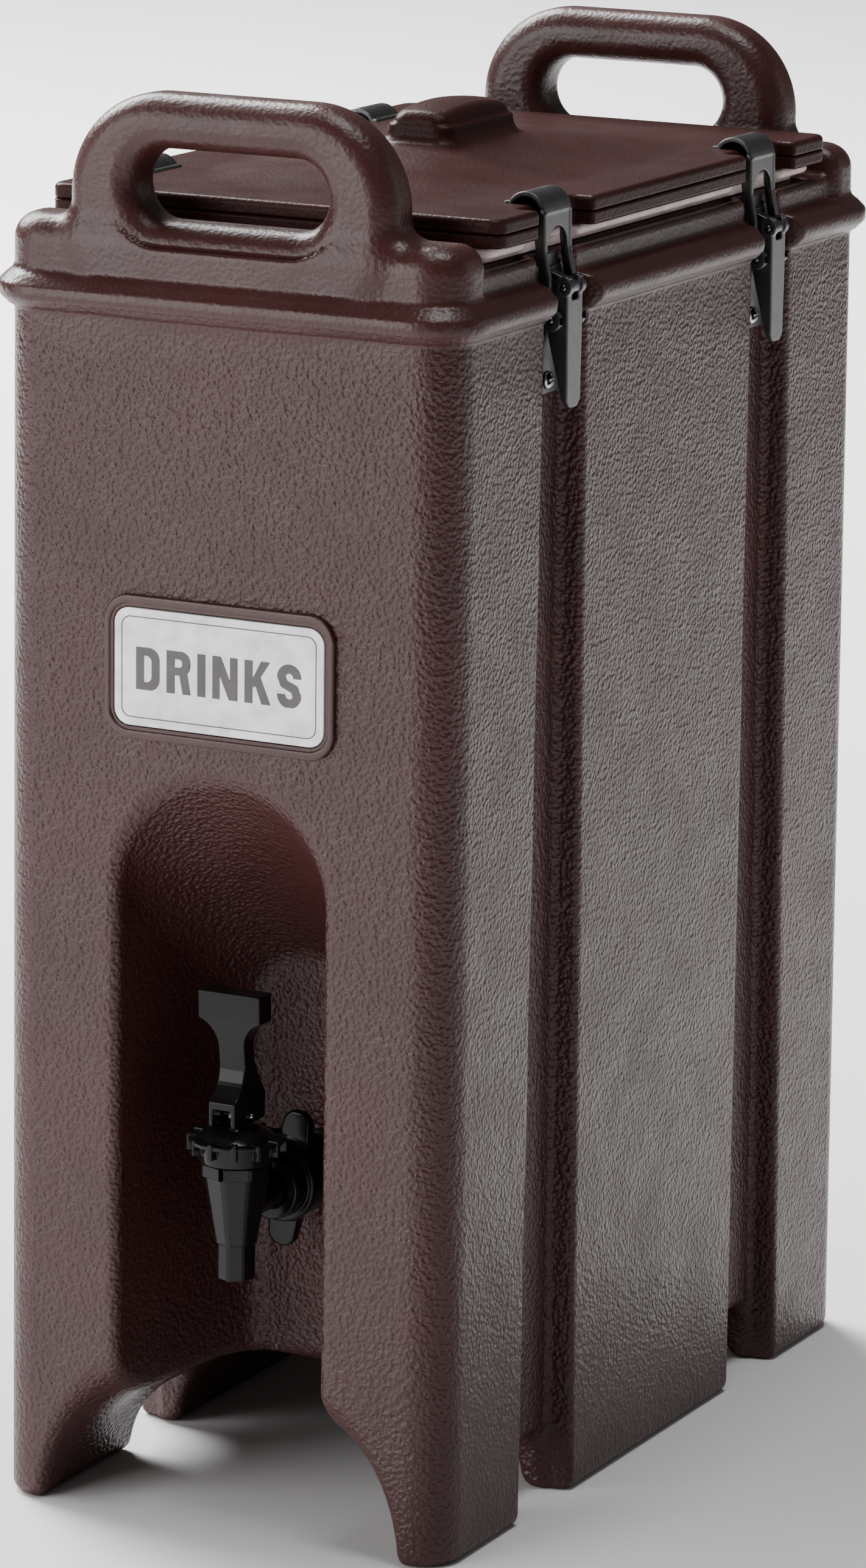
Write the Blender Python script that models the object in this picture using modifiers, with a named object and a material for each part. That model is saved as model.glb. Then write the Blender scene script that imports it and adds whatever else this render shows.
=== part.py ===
"""Insulated drinks dispenser: a double-walled body with two end handles, a lift-off lid held by
four draw latches, and a self-closing gravity faucet in an arched recess at the front.

Metres, +Z up. The origin is the centre of the footprint, on the surface that the legs stand on.
The front, with the faucet, faces -Y.
"""

import math

import bmesh
import bpy
from mathutils import Matrix, Vector

# Body
BODY_HALF_X = 0.1090
BODY_HALF_Y = 0.2045
BODY_DRAFT = 0.0015
CORNER_RADIUS = 0.0190
SKIN = 0.0040
GAP = 0.0003
RIM_Z = 0.5490
BLOCK_TOP_Z = 0.5620
BLOCK_INNER_Y = 0.1720
BEAD_Z = 0.5305
BEAD_HALF_HEIGHT = 0.0072
BEAD_PROUD = 0.0070
RIM_HALF_X = 0.1030

# Handles
HANDLE_TOP_Z = 0.6160
HANDLE_HALF_X = 0.0770
HANDLE_CORNER = 0.0430
HANDLE_HALF_THICK = 0.0140
HANDLE_ROUND = 0.0110
HANDLE_Y = 0.1880
GRIP_Z = 0.5780
GRIP_HALF_X = 0.0450
GRIP_HALF_Z = 0.0150

# Side grooves, which hold the latches, and the gaps between the legs below them
GROOVE_FLOOR_X = 0.0970
GROOVE_BOTTOM_Y = (0.0805, 0.1310)
GROOVE_TOP_Y = (0.0830, 0.1205)
GROOVE_WALL_DRAFT = 0.0030
LEG_GAP_Y = (0.0860, 0.1260)
LEG_GAP_Z = 0.0280

# Recess for the faucet, and the tunnel between the legs
RECESS_HALF_X = 0.0490
RECESS_SPRING_Z = 0.2830
RECESS_DEPTH = 0.0885
RECESS_BACK_HALF_X = 0.0270
RECESS_BACK_TOP_Z = 0.2370
TUNNEL_FLAT_HALF_X = 0.0300
TUNNEL_SIDE = 0.0565
TUNNEL_HEIGHT = 0.0520
TUNNEL_MOUTH_HEIGHT = 0.0720

# Tank
TANK_HALF_X = 0.0790
TANK_WALL = 0.0035
TANK_FLOOR_Z = 0.1240
TANK_FRONT_LOW_Y = -0.0870
TANK_END_Y = 0.1505
TANK_STEP_Z = (0.2620, 0.3350)
FLANGE_Z = (0.5445, 0.5487)

# Lid
LID_HALF_X = 0.1070
LID_HALF_Y = 0.1620
LID_CORNER = 0.0065
LID_BOTTOM_Z = 0.5576
LID_PARTING_Z = 0.5636
LID_EDGE_Z = 0.5698
LID_PLUG_Z = 0.5310
NOTCH_Y = (0.0762, 0.1262)
NOTCH_X = 0.0970
GASKET_Z = (0.5495, 0.5573)

# Latches, laid out for the +X side about the latch's own middle plane
LATCH_Y = 0.1015
LEVER_PIVOT = (0.1095, 0.5353)
HOOK_PIVOT = (0.1063, 0.5220)
LATCH_PIN_RADIUS = 0.0016
LATCH_BORE_RADIUS = 0.0020
LEVER_HALF_Y = 0.0073
HOOK_HALF_Y = 0.0125
HOOK_SLOT_HALF_Y = 0.0092
LATCH_SCREW_Z = (0.4948, 0.5195)
SCREW_BOSS_RADIUS = 0.0060
SCREW_BOSS_X = 0.0862
SCREW_TIP_X = 0.0872
LATCH_PLATE = 0.0020
LATCH_PLATE_HALF_Y = 0.0130
LATCH_PLATE_Z = (0.4890, 0.5450)
LATCH_TAB_HALF_Y = 0.0085
LATCH_TAB_TOP_Z = 0.5488
LATCH_SEAT_X = GROOVE_FLOOR_X + LATCH_PLATE + 2 * GAP

# Label
LABEL_Z = 0.3758
LABEL_HALF = (0.0500, 0.0252)
LABEL_FRAME_HALF = (0.0548, 0.0308)
LABEL_FACE_Y = -0.2050
LABEL_FRAME_Y = -0.2056

# Faucet
FAUCET_Y = -0.1870
OUTLET_Z = 0.1100
INLET_Z = 0.1420
COLLAR_Z = 0.1621
PADDLE_PIVOT_Z = 0.1823
PADDLE_TOP_Z = 0.2370
FOOT_Z = 0.1788
FOOT_HALF = (0.0064, 0.0137)
SPRING_SEAT_Z = COLLAR_Z + 0.0008
EYE_LOW_Z = PADDLE_PIVOT_Z - 0.0005
WALL_Y = RECESS_DEPTH - BODY_HALF_Y
WING_LEAN_DEGREES = 8

COLORS = {
    "body": ((0.105, 0.068, 0.064), 0.55, 0.0),
    "tank": ((0.30, 0.24, 0.22), 0.45, 0.0),
    "foam": ((0.85, 0.78, 0.55), 0.90, 0.0),
    "gasket": ((0.72, 0.62, 0.62), 0.55, 0.0),
    "label": ((0.86, 0.86, 0.86), 0.40, 0.0),
    "latch": ((0.030, 0.030, 0.033), 0.38, 0.0),
    "faucet": ((0.022, 0.022, 0.024), 0.22, 0.0),
    "silicone": ((0.55, 0.53, 0.50), 0.60, 0.0),
    "steel": ((0.72, 0.72, 0.74), 0.25, 1.0),
}


def clear_scene():
    for obj in list(bpy.data.objects):
        bpy.data.objects.remove(obj, do_unlink=True)


def new_collection(name):
    collection = bpy.data.collections.new(name)
    bpy.context.scene.collection.children.link(collection)
    return collection


def new_material(name, color, roughness, metallic):
    material = bpy.data.materials.new(name)
    material.use_nodes = True
    shader = material.node_tree.nodes["Principled BSDF"]
    shader.inputs["Base Color"].default_value = (*color, 1.0)
    shader.inputs["Roughness"].default_value = roughness
    shader.inputs["Metallic"].default_value = metallic
    material.diffuse_color = (*color, 1.0)
    return material


clear_scene()
PARTS = new_collection("insulated_drinks_dispenser")
MATERIALS = {name: new_material(name, *look) for name, look in COLORS.items()}


def add_part(name, mesh, material, origin=(0.0, 0.0, 0.0), turn=0.0, smooth=40.0):
    """Adds a piece whose mesh is measured from origin, turned about Z and then placed there."""
    if not mesh.materials:
        mesh.materials.append(MATERIALS[material])
    mesh.shade_smooth()
    mesh.set_sharp_from_angle(angle=math.radians(smooth))
    obj = bpy.data.objects.new(name, mesh)
    obj.location = origin
    obj.rotation_euler = (0.0, 0.0, turn)
    PARTS.objects.link(obj)
    return obj


def finished(graph_bmesh):
    """The mesh of a bmesh, with its faces turned outward."""
    bmesh.ops.recalc_face_normals(graph_bmesh, faces=graph_bmesh.faces)
    mesh = bpy.data.meshes.new("shape")
    graph_bmesh.to_mesh(mesh)
    graph_bmesh.free()
    return mesh


def evaluated(obj):
    """The mesh that an object's modifiers make, with loose caps welded. The object is removed."""
    bpy.context.view_layer.update()
    graph = bpy.context.evaluated_depsgraph_get()
    mesh = bpy.data.meshes.new_from_object(obj.evaluated_get(graph))
    bpy.data.objects.remove(obj, do_unlink=True)
    shape = bmesh.new()
    shape.from_mesh(mesh)
    bmesh.ops.remove_doubles(shape, verts=shape.verts, dist=1e-6)
    return finished(shape)


def merged(base, others, operation):
    """Joins or cuts one mesh with each of the others in turn."""
    for other in others:
        target = bpy.data.objects.new("target", base)
        cutter = bpy.data.objects.new("cutter", other)
        for obj in (target, cutter):
            bpy.context.scene.collection.objects.link(obj)
        cutter.hide_render = True
        cutter.display_type = "WIRE"
        step = target.modifiers.new("step", "BOOLEAN")
        step.operation = operation
        step.object = cutter
        base = evaluated(target)
        bpy.data.objects.remove(cutter, do_unlink=True)
    return base


def cut(base, *others):
    return merged(base, others, "DIFFERENCE")


def joined(base, *others):
    return merged(base, others, "UNION")


def moved(mesh, matrix):
    copy = mesh.copy()
    copy.transform(matrix)
    if matrix.determinant() < 0:
        copy.flip_normals()
    return copy


def shifted(mesh, offset):
    return moved(mesh, Matrix.Translation(Vector(offset)))


def block(low, high, radius=0.0, along=None, segments=3):
    """A box between two corners, with its edges rounded: all of them, or those along one axis."""
    shape = bmesh.new()
    bmesh.ops.create_cube(shape, size=1.0)
    size = [b - a for a, b in zip(low, high)]
    middle = [(a + b) / 2 for a, b in zip(low, high)]
    bmesh.ops.scale(shape, vec=size, verts=shape.verts)
    bmesh.ops.translate(shape, vec=middle, verts=shape.verts)
    if radius:
        edges = list(shape.edges)
        if along is not None:
            edges = [e for e in edges if abs((e.verts[0].co - e.verts[1].co)[along]) > size[along] / 2]
        bmesh.ops.bevel(shape, geom=edges, offset=radius, segments=segments, profile=0.5, affect="EDGES")
    return finished(shape)


def loft(rings):
    """A closed solid through rings of equally many points, capped at both ends."""
    shape = bmesh.new()
    rows = [[shape.verts.new(point) for point in ring] for ring in rings]
    for lower, upper in zip(rows, rows[1:]):
        for i in range(len(lower)):
            j = (i + 1) % len(lower)
            shape.faces.new((lower[i], lower[j], upper[j], upper[i]))
    shape.faces.new(rows[0])
    shape.faces.new(rows[-1])
    return finished(shape)


def arc(center, radius, start, end, steps):
    """Points on an arc, in degrees anticlockwise. The radius may be a pair, for an ellipse."""
    across, up = radius if isinstance(radius, tuple) else (radius, radius)
    angles = [math.radians(start + (end - start) * i / steps) for i in range(steps + 1)]
    return [(center[0] + across * math.cos(a), center[1] + up * math.sin(a)) for a in angles]


def rounded_rectangle(half_x, half_y, radius, steps=4):
    corners = ((1, 1, 0), (-1, 1, 90), (-1, -1, 180), (1, -1, 270))
    return [
        point
        for sx, sy, start in corners
        for point in arc((sx * (half_x - radius), sy * (half_y - radius)), radius, start, start + 90, steps)
    ]


def level(outline, z):
    return [(x, y, z) for x, y in outline]


def stack(levels, steps=4):
    """A solid through level rounded rectangles, each given as (half_x, half_y, radius, z)."""
    return loft([level(rounded_rectangle(hx, hy, r, steps), z) for hx, hy, r, z in levels])


def plate(outline, low_y, high_y, bevel=0.0, resolution=2):
    """A flat outline in X and Z, extruded along Y, with its edges rounded outward by bevel."""
    curve = bpy.data.curves.new("outline", "CURVE")
    curve.dimensions = "2D"
    curve.fill_mode = "BOTH"
    curve.extrude = (high_y - low_y) / 2 - bevel
    curve.bevel_depth = bevel
    curve.bevel_resolution = resolution
    spline = curve.splines.new("POLY")
    spline.points.add(len(outline) - 1)
    for point, (x, z) in zip(spline.points, outline):
        point.co = (x, z, 0.0, 1.0)
    spline.use_cyclic_u = True
    guide = bpy.data.objects.new("outline", curve)
    bpy.context.scene.collection.objects.link(guide)
    upright = Matrix.Translation((0.0, (low_y + high_y) / 2, 0.0)) @ Matrix.Rotation(math.pi / 2, 4, "X")
    return moved(evaluated(guide), upright)


def turned(profile, segments=20, axis="Z", at=(0.0, 0.0, 0.0)):
    """A profile of (radius, height), from the top down its outer side, turned about an axis."""
    shape = bmesh.new()
    points = [shape.verts.new((r, 0.0, h)) for r, h in profile]
    for first, second in zip(points, points[1:]):
        shape.edges.new((first, second))
    if profile[0][0] > 0:
        shape.edges.new((points[-1], points[0]))
    mesh = bpy.data.meshes.new("profile")
    shape.to_mesh(mesh)
    shape.free()
    guide = bpy.data.objects.new("profile", mesh)
    bpy.context.scene.collection.objects.link(guide)
    screw = guide.modifiers.new("turn", "SCREW")
    screw.steps = segments
    screw.render_steps = segments
    screw.use_merge_vertices = True
    screw.merge_threshold = 1e-6
    turns = {
        "X": Matrix.Rotation(math.pi / 2, 4, "Y"),
        "Y": Matrix.Rotation(-math.pi / 2, 4, "X"),
        "Z": Matrix.Identity(4),
    }
    return moved(evaluated(guide), Matrix.Translation(Vector(at)) @ turns[axis])


def rod(radius, low, high, axis, at, segments=16):
    """A plain cylinder from low to high along its axis, measured from at."""
    return turned([(0.0, high), (radius, high), (radius, low), (0.0, low)], segments, axis, at)


def tube(outer, inner, low, high, axis, at, segments=24):
    profile = [(inner, high), (outer, high), (outer, low), (inner, low)]
    return turned(profile, segments, axis, at)


def mirrored_pair(mesh):
    """A mesh and its copy turned half round about Z."""
    return mesh, moved(mesh, Matrix.Rotation(math.pi, 4, "Z"))


# Body ------------------------------------------------------------------------------------------


def body_levels():
    """The outside of the body from the feet to the top of the end blocks."""

    def at(z, out):
        draft = BODY_DRAFT * z / BLOCK_TOP_Z
        return (
            BODY_HALF_X - draft + out,
            BODY_HALF_Y - draft + out,
            CORNER_RADIUS + max(out, -0.010),
            z,
        )

    levels = [at(0.0, -0.004), at(0.0012, -0.0012), at(0.004, 0.0)]
    levels += [at(BEAD_Z - BEAD_HALF_HEIGHT, 0.0)]
    for angle in (-50, -20, 0, 20, 50):
        a = math.radians(angle)
        levels.append(at(BEAD_Z + BEAD_HALF_HEIGHT * math.sin(a), BEAD_PROUD * math.cos(a)))
    levels += [at(BEAD_Z + BEAD_HALF_HEIGHT, 0.0), at(BLOCK_TOP_Z - 0.009, 0.0)]
    levels += [at(BLOCK_TOP_Z - 0.009 + 0.009 * s, -0.009 * (1 - c)) for s, c in ((0.5, 0.866), (0.866, 0.5))]
    levels.append(at(BLOCK_TOP_Z, -0.009))
    return levels


def handle():
    """One handle, standing on the front end block, without its grip hole."""
    half_x = HANDLE_HALF_X - HANDLE_ROUND
    top = HANDLE_TOP_Z - HANDLE_ROUND
    corner = HANDLE_CORNER - HANDLE_ROUND
    outline = [(-half_x, RIM_Z), (half_x, RIM_Z)]
    outline += arc((half_x - corner, top - corner), corner, 0, 90, 5)
    outline += arc((corner - half_x, top - corner), corner, 90, 180, 5)
    low_y = -HANDLE_Y - HANDLE_HALF_THICK
    return plate(outline, low_y, low_y + 2 * HANDLE_HALF_THICK, bevel=HANDLE_ROUND)


def grip_hole():
    """The front handle's hole, whose edges flare out to both faces."""
    flat = HANDLE_HALF_THICK - HANDLE_ROUND
    reach = HANDLE_ROUND + 0.0006
    stations = [(flat + reach * math.sin(a), HANDLE_ROUND * (1 - math.cos(a))) for a in (0, 0.6, 1.1, 1.45)]
    stations.append((HANDLE_HALF_THICK + 0.006, HANDLE_ROUND + 0.001))
    stations = [(-offset, flare) for offset, flare in reversed(stations)] + stations
    rings = []
    for offset, flare in stations:
        radius = GRIP_HALF_Z + flare
        outline = rounded_rectangle(GRIP_HALF_X + flare, radius, radius, steps=5)
        rings.append([(x, -HANDLE_Y + offset, GRIP_Z + z) for x, z in outline])
    return loft(rings)


def groove(side_x, side_y, grow=0.0):
    """One side groove, wider at its mouth than at its floor and at the legs than at the rim."""
    floor = GROOVE_FLOOR_X - grow
    rings = []
    for z, (inner, outer) in ((-0.01, GROOVE_BOTTOM_Y), (RIM_Z + 0.03, GROOVE_TOP_Y)):
        lean = GROOVE_WALL_DRAFT
        outline = [
            (floor, inner - grow + lean + 0.003),
            (floor, outer + grow - lean - 0.003),
            (floor + 0.003, outer + grow - lean),
            (BODY_HALF_X, outer + grow),
            (0.13, outer + grow),
            (0.13, inner - grow),
            (BODY_HALF_X, inner - grow),
            (floor + 0.003, inner - grow + lean),
        ]
        rings.append([(side_x * x, side_y * y, z) for x, y in outline])
    return loft(rings)


def grooves(grow=0.0):
    return [groove(sx, sy, grow) for sx in (1, -1) for sy in (1, -1)]


def recess(grow=0.0):
    """The faucet's recess: an arch that narrows and comes down towards its back wall."""
    rings = []
    for t in (-0.12, 0.0, 0.25, 0.5, 0.7, 0.85, 0.95, 1.0):
        inward = min(max(t, 0.0), 1.0)
        narrow = RECESS_BACK_HALF_X - RECESS_HALF_X
        half = RECESS_HALF_X + narrow * (1 - math.sqrt(1 - inward**2)) + grow
        front_top = RECESS_SPRING_Z + RECESS_HALF_X
        top = front_top + (RECESS_BACK_TOP_Z - front_top) * inward + grow
        outline = [(half, 0.02)] + arc((0.0, top - half), half, 0, 180, 12) + [(-half, 0.02)]
        y = -BODY_HALF_Y + RECESS_DEPTH * t + (grow if t == 1.0 else 0.0)
        rings.append([(x, y, z) for x, z in outline])
    return loft(rings)


def tunnel():
    """The passage between the legs, from front to back, taller at both mouths."""
    stations = ((0.24, 0.086), (0.2045, TUNNEL_MOUTH_HEIGHT), (0.196, 0.062), (0.184, 0.0545), (0.160, TUNNEL_HEIGHT))
    rings = []
    for y, height in [(-y, h) for y, h in stations] + [(y, h) for y, h in reversed(stations)]:
        outline = arc((TUNNEL_FLAT_HALF_X, -0.004), (TUNNEL_SIDE, height + 0.004), -4, 90, 8)
        outline += arc((-TUNNEL_FLAT_HALF_X, -0.004), (TUNNEL_SIDE, height + 0.004), 90, 184, 8)
        rings.append([(x, y, z) for x, z in outline])
    return loft(rings)


def leg_gap(side_y):
    """The gap between two legs, cut through both long sides below a pair of grooves."""
    low_y, high_y = sorted(side_y * y for y in LEG_GAP_Y)
    return block((-0.13, low_y, -0.02), (0.13, high_y, LEG_GAP_Z), 0.009, along=0)


def screw_rods(radius, low_x):
    """A rod on the axis of each latch screw, from low_x out past the groove's floor."""
    rods = []
    for side_y in (1, -1):
        for z in LATCH_SCREW_Z:
            one = rod(radius, low_x, 0.13, "X", (0.0, side_y * LATCH_Y, z), 12)
            rods += mirrored_pair(one)
    return rods


def insulation_space(gap, top_z):
    """The room between the shell and the tank: gap is left to the shell all round."""
    half_x = BODY_HALF_X - SKIN - 0.0015 - gap
    half_y = BODY_HALF_Y - SKIN - 0.001 - gap
    floor = TUNNEL_MOUTH_HEIGHT + SKIN + gap
    main = stack([(half_x, half_y, 0.015, floor), (half_x, half_y, 0.015, 0.536 - gap)])
    mouth = stack([(0.0990 - gap, 0.1655 - gap, 0.010, 0.52), (0.0990 - gap, 0.1655 - gap, 0.010, top_z)])
    bosses = screw_rods(SCREW_BOSS_RADIUS + gap, SCREW_BOSS_X - gap)
    return cut(joined(main, mouth), *grooves(SKIN + gap), recess(SKIN + gap), *bosses)


def label_frame():
    """The raised frame that the label sits in, and the shallow pocket inside it."""
    outer = rounded_rectangle(*LABEL_FRAME_HALF, 0.012)
    inner = rounded_rectangle(LABEL_HALF[0] + 0.0006, LABEL_HALF[1] + 0.0006, 0.0078)
    upright = Matrix.Translation((0.0, 0.0, LABEL_Z))
    frame = moved(plate(outer, LABEL_FRAME_Y, -0.200), upright)
    pocket = moved(plate(inner, -0.22, -0.2038), upright)
    return frame, pocket


def outer_shell():
    frame, pocket = label_frame()
    form = joined(stack(body_levels(), steps=5), frame)
    between = block((-0.13, -BLOCK_INNER_Y, RIM_Z), (0.13, BLOCK_INNER_Y, 0.65))
    ledge = block((RIM_HALF_X, -BLOCK_INNER_Y, BEAD_Z + BEAD_HALF_HEIGHT), (0.13, BLOCK_INNER_Y, 0.65))
    form = cut(form, pocket, between, *mirrored_pair(ledge))
    form = cut(form, *grooves(), recess(), tunnel(), leg_gap(1), leg_gap(-1))
    shank_hole = rod(0.0113, -0.02, 0.02, "Y", (0.0, WALL_Y, INLET_Z), 20)
    form = cut(form, insulation_space(0.0, 0.58), shank_hole, *screw_rods(0.0021, SCREW_TIP_X - GAP))
    form = joined(form, *mirrored_pair(handle()))
    return cut(form, *mirrored_pair(grip_hole()))


def tank_outline(wall, top_z):
    """The tank's side view, in Y and Z: it steps back over the faucet's recess."""
    front, back = -TANK_END_Y - wall, TANK_END_Y + wall
    low_front = TANK_FRONT_LOW_Y - wall
    floor = TANK_FLOOR_Z - wall
    return [
        (low_front + 0.003, floor),
        (back - 0.016, floor + 0.004),
        (back, floor + 0.020),
        (back, top_z),
        (front, top_z),
        (front, TANK_STEP_Z[1] - wall),
        (low_front, TANK_STEP_Z[0] - wall),
        (low_front, floor + 0.002),
    ]


def tank_form(wall, top_z):
    half_x = TANK_HALF_X + wall
    upright = plate(tank_outline(wall, top_z), -half_x, half_x)
    form = moved(upright, Matrix.Rotation(math.pi / 2, 4, "Z"))
    return merged(form, [stack([(half_x, 0.30, 0.014, 0.0), (half_x, 0.30, 0.014, 0.7)])], "INTERSECT")


def inner_tank():
    form = tank_form(TANK_WALL, FLANGE_Z[1])
    flange = stack([(0.0925, 0.1620, 0.010, z) for z in FLANGE_Z])
    hole = rod(0.0113, -0.02, 0.02, "Y", (0.0, TANK_FRONT_LOW_Y, INLET_Z), 20)
    return cut(joined(form, flange), tank_form(0.0, 0.58), hole)


def foam_insulation():
    form = insulation_space(GAP, FLANGE_Z[0] - GAP)
    passage = rod(0.0116, -0.05, 0.05, "Y", (0.0, WALL_Y, INLET_Z), 20)
    return cut(form, tank_form(TANK_WALL + GAP, 0.58), passage)


def add_body():
    add_part("outer_shell", outer_shell(), "body", smooth=30)
    add_part("foam_insulation", foam_insulation(), "foam", smooth=30)
    add_part("inner_tank", inner_tank(), "tank", smooth=30)
    outline = rounded_rectangle(*LABEL_HALF, 0.0072)
    add_part("label_plate", plate(outline, 0.0, 0.0009), "label", (0.0, LABEL_FACE_Y, LABEL_Z))


# Lid -------------------------------------------------------------------------------------------


def notches(depth_x=NOTCH_X, low_z=0.53, high_z=0.60):
    """The four cut-outs that let the hooks reach over the lid."""
    cutters = []
    for side in (1, -1):
        low_y, high_y = sorted(side * y for y in NOTCH_Y)
        one = block((depth_x, low_y, low_z), (0.13, high_y, high_z), 0.004, along=2, segments=2)
        cutters += mirrored_pair(one)
    return cutters


def lid_levels(shrink=0.0):
    """The lid's top skin: rim, mound and the rounded block in the middle."""
    levels = [
        (LID_HALF_X, LID_HALF_Y, LID_CORNER, LID_PARTING_Z),
        (LID_HALF_X, LID_HALF_Y, LID_CORNER, LID_EDGE_Z - 0.0022),
        (LID_HALF_X - 0.0022, LID_HALF_Y - 0.0022, LID_CORNER - 0.002, LID_EDGE_Z),
        (0.080, 0.135, 0.022, 0.5700),
        (0.058, 0.108, 0.030, 0.5722),
        (0.036, 0.066, 0.024, 0.5765),
        (0.0215, 0.0385, 0.0110, 0.5795),
        (0.0175, 0.0345, 0.0080, 0.5825),
        (0.0165, 0.0335, 0.0080, 0.5890),
        (0.0135, 0.0305, 0.0070, 0.5940),
        (0.0080, 0.0250, 0.0040, 0.5958),
    ]
    return [(hx - shrink, hy - shrink, max(r - shrink, 0.001), z - shrink) for hx, hy, r, z in levels]


def lid_shell():
    hollow = lid_levels(0.0028)
    hollow[0] = (hollow[0][0], hollow[0][1], hollow[0][2], LID_PARTING_Z - 0.003)
    inside = cut(stack(hollow), *notches(NOTCH_X - 0.0028))
    return cut(stack(lid_levels()), *notches(), inside)


def lid_pan():
    flange_top = LID_PARTING_Z - GAP
    flange = stack([(LID_HALF_X, LID_HALF_Y, LID_CORNER, z) for z in (LID_BOTTOM_Z, flange_top)])
    plug = stack(
        [
            (0.0742, 0.1460, 0.010, LID_PLUG_Z),
            (0.0772, 0.1490, 0.013, LID_PLUG_Z + 0.003),
            (0.0772, 0.1490, 0.013, flange_top - 0.001),
        ]
    )
    hollow = stack([(0.0742, 0.1460, 0.011, z) for z in (LID_PLUG_Z + 0.003, 0.58)])
    return cut(joined(flange, plug), hollow, *notches())


def add_lid():
    add_part("lid_shell", lid_shell(), "body", smooth=30)
    add_part("lid_pan", lid_pan(), "body", smooth=30)
    foam = stack([(0.0739, 0.1457, 0.011, z) for z in (LID_PLUG_Z + 0.003 + GAP, LID_EDGE_Z - 0.0034)])
    add_part("lid_foam", foam, "foam")
    ring = stack([(0.1005, 0.1590, 0.011, z) for z in GASKET_Z])
    hole = stack([(0.0840, 0.1530, 0.008, z) for z in (0.54, 0.57)])
    add_part("lid_gasket", cut(ring, hole, *notches(NOTCH_X - 0.0015)), "gasket", smooth=30)


# Latches ---------------------------------------------------------------------------------------


def latch_bore(pivot, half_y=0.02):
    return rod(LATCH_BORE_RADIUS, -half_y, half_y, "Y", (pivot[0], 0.0, pivot[1]), 12)


def latch_base():
    """The screwed plate, with a tab above it and the tongue that carries the lever's pin."""
    back = GROOVE_FLOOR_X + GAP
    front = back + LATCH_PLATE
    low_z, high_z = LATCH_PLATE_Z
    half = LATCH_PLATE_HALF_Y
    body = block((back, -half, low_z), (front, half, high_z), 0.004, along=0, segments=2)
    tab = block((back, -LATCH_TAB_HALF_Y, high_z - 0.004), (front, LATCH_TAB_HALF_Y, LATCH_TAB_TOP_Z))
    x, z = LEVER_PIVOT
    nose = [(front - 0.001, z - 0.0060), (x, z - 0.0030)] + arc((x, z), 0.0030, -60, 90, 5)
    nose += [(front - 0.001, z + 0.0060)]
    tongue = plate(nose, -0.0029, 0.0029)
    holes = [rod(0.0022, -0.01, 0.01, "X", (back, 0.0, hole_z), 12) for hole_z in LATCH_SCREW_Z]
    return cut(joined(body, tab, tongue), latch_bore(LEVER_PIVOT), *holes)


def latch_lever():
    """A channel with two cheeks, forked at the top around the base's tongue."""
    x, z = LEVER_PIVOT
    face = x + 0.0022
    outline = [(face - 0.0025, 0.4838), (face - 0.0005, 0.4838), (face, 0.4850), (face, z + 0.0040)]
    outline += [(face - 0.0015, z + 0.0055), (x - 0.0030, z + 0.0055), (x - 0.0074, z + 0.0020)]
    outline += [(x - 0.0078, 0.5160), (x - 0.0060, 0.5080), (x - 0.0020, 0.4900)]
    body = plate(outline, -LEVER_HALF_Y, LEVER_HALF_Y)
    channel = block((0.09, -0.0048, 0.4870), (face - 0.0025, 0.0048, 0.56))
    fork = block((0.09, -0.0033, z - 0.0034), (0.13, 0.0033, 0.56))
    return cut(body, channel, fork, latch_bore(LEVER_PIVOT), latch_bore(HOOK_PIVOT))


def hook_outline(grow=0.0):
    """The hook's side view: arms from the pin, up over the rim, and a tip that rests on the lid."""
    x, z = HOOK_PIVOT
    outer = arc((x, z), 0.0048, -150, 10, 6)
    outer += [(0.1062, 0.5400), (0.1036, 0.5480), (0.1032, 0.5655)]
    outer += arc((0.0940, 0.5662), (0.0092, 0.0094), 15, 150, 6)
    outer += [(0.0843, 0.5706)]
    inner = [(0.0862, 0.5706)]
    inner += arc((0.0940, 0.5662), (0.0066, 0.0068), 142, 12, 5)
    inner += [(0.1004, 0.5640), (0.1004, 0.5470), (0.1022, 0.5270)]
    return outer + inner


def latch_hook():
    body = plate(hook_outline(), -HOOK_HALF_Y, HOOK_HALF_Y)
    slot = block((0.08, -HOOK_SLOT_HALF_Y, 0.50), (0.12, HOOK_SLOT_HALF_Y, 0.5600), 0.0060, along=0)
    return cut(body, slot, latch_bore(HOOK_PIVOT))


def latch_screw():
    """A pan-head screw with a cross recess, along +X with its head's seat at the origin."""
    tip = SCREW_TIP_X - LATCH_SEAT_X
    profile = [(0.0, 0.0022), (0.0022, 0.0021), (0.0036, 0.0012), (0.0040, 0.0), (0.0018, 0.0)]
    profile += [(0.0018, tip + 0.0018), (0.0, tip)]
    body = turned(profile, 12, "X")
    blades = [block((0.0010, -w, -h), (0.0040, w, h)) for w, h in ((0.0019, 0.0004), (0.0004, 0.0019))]
    return cut(body, *blades)


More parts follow.
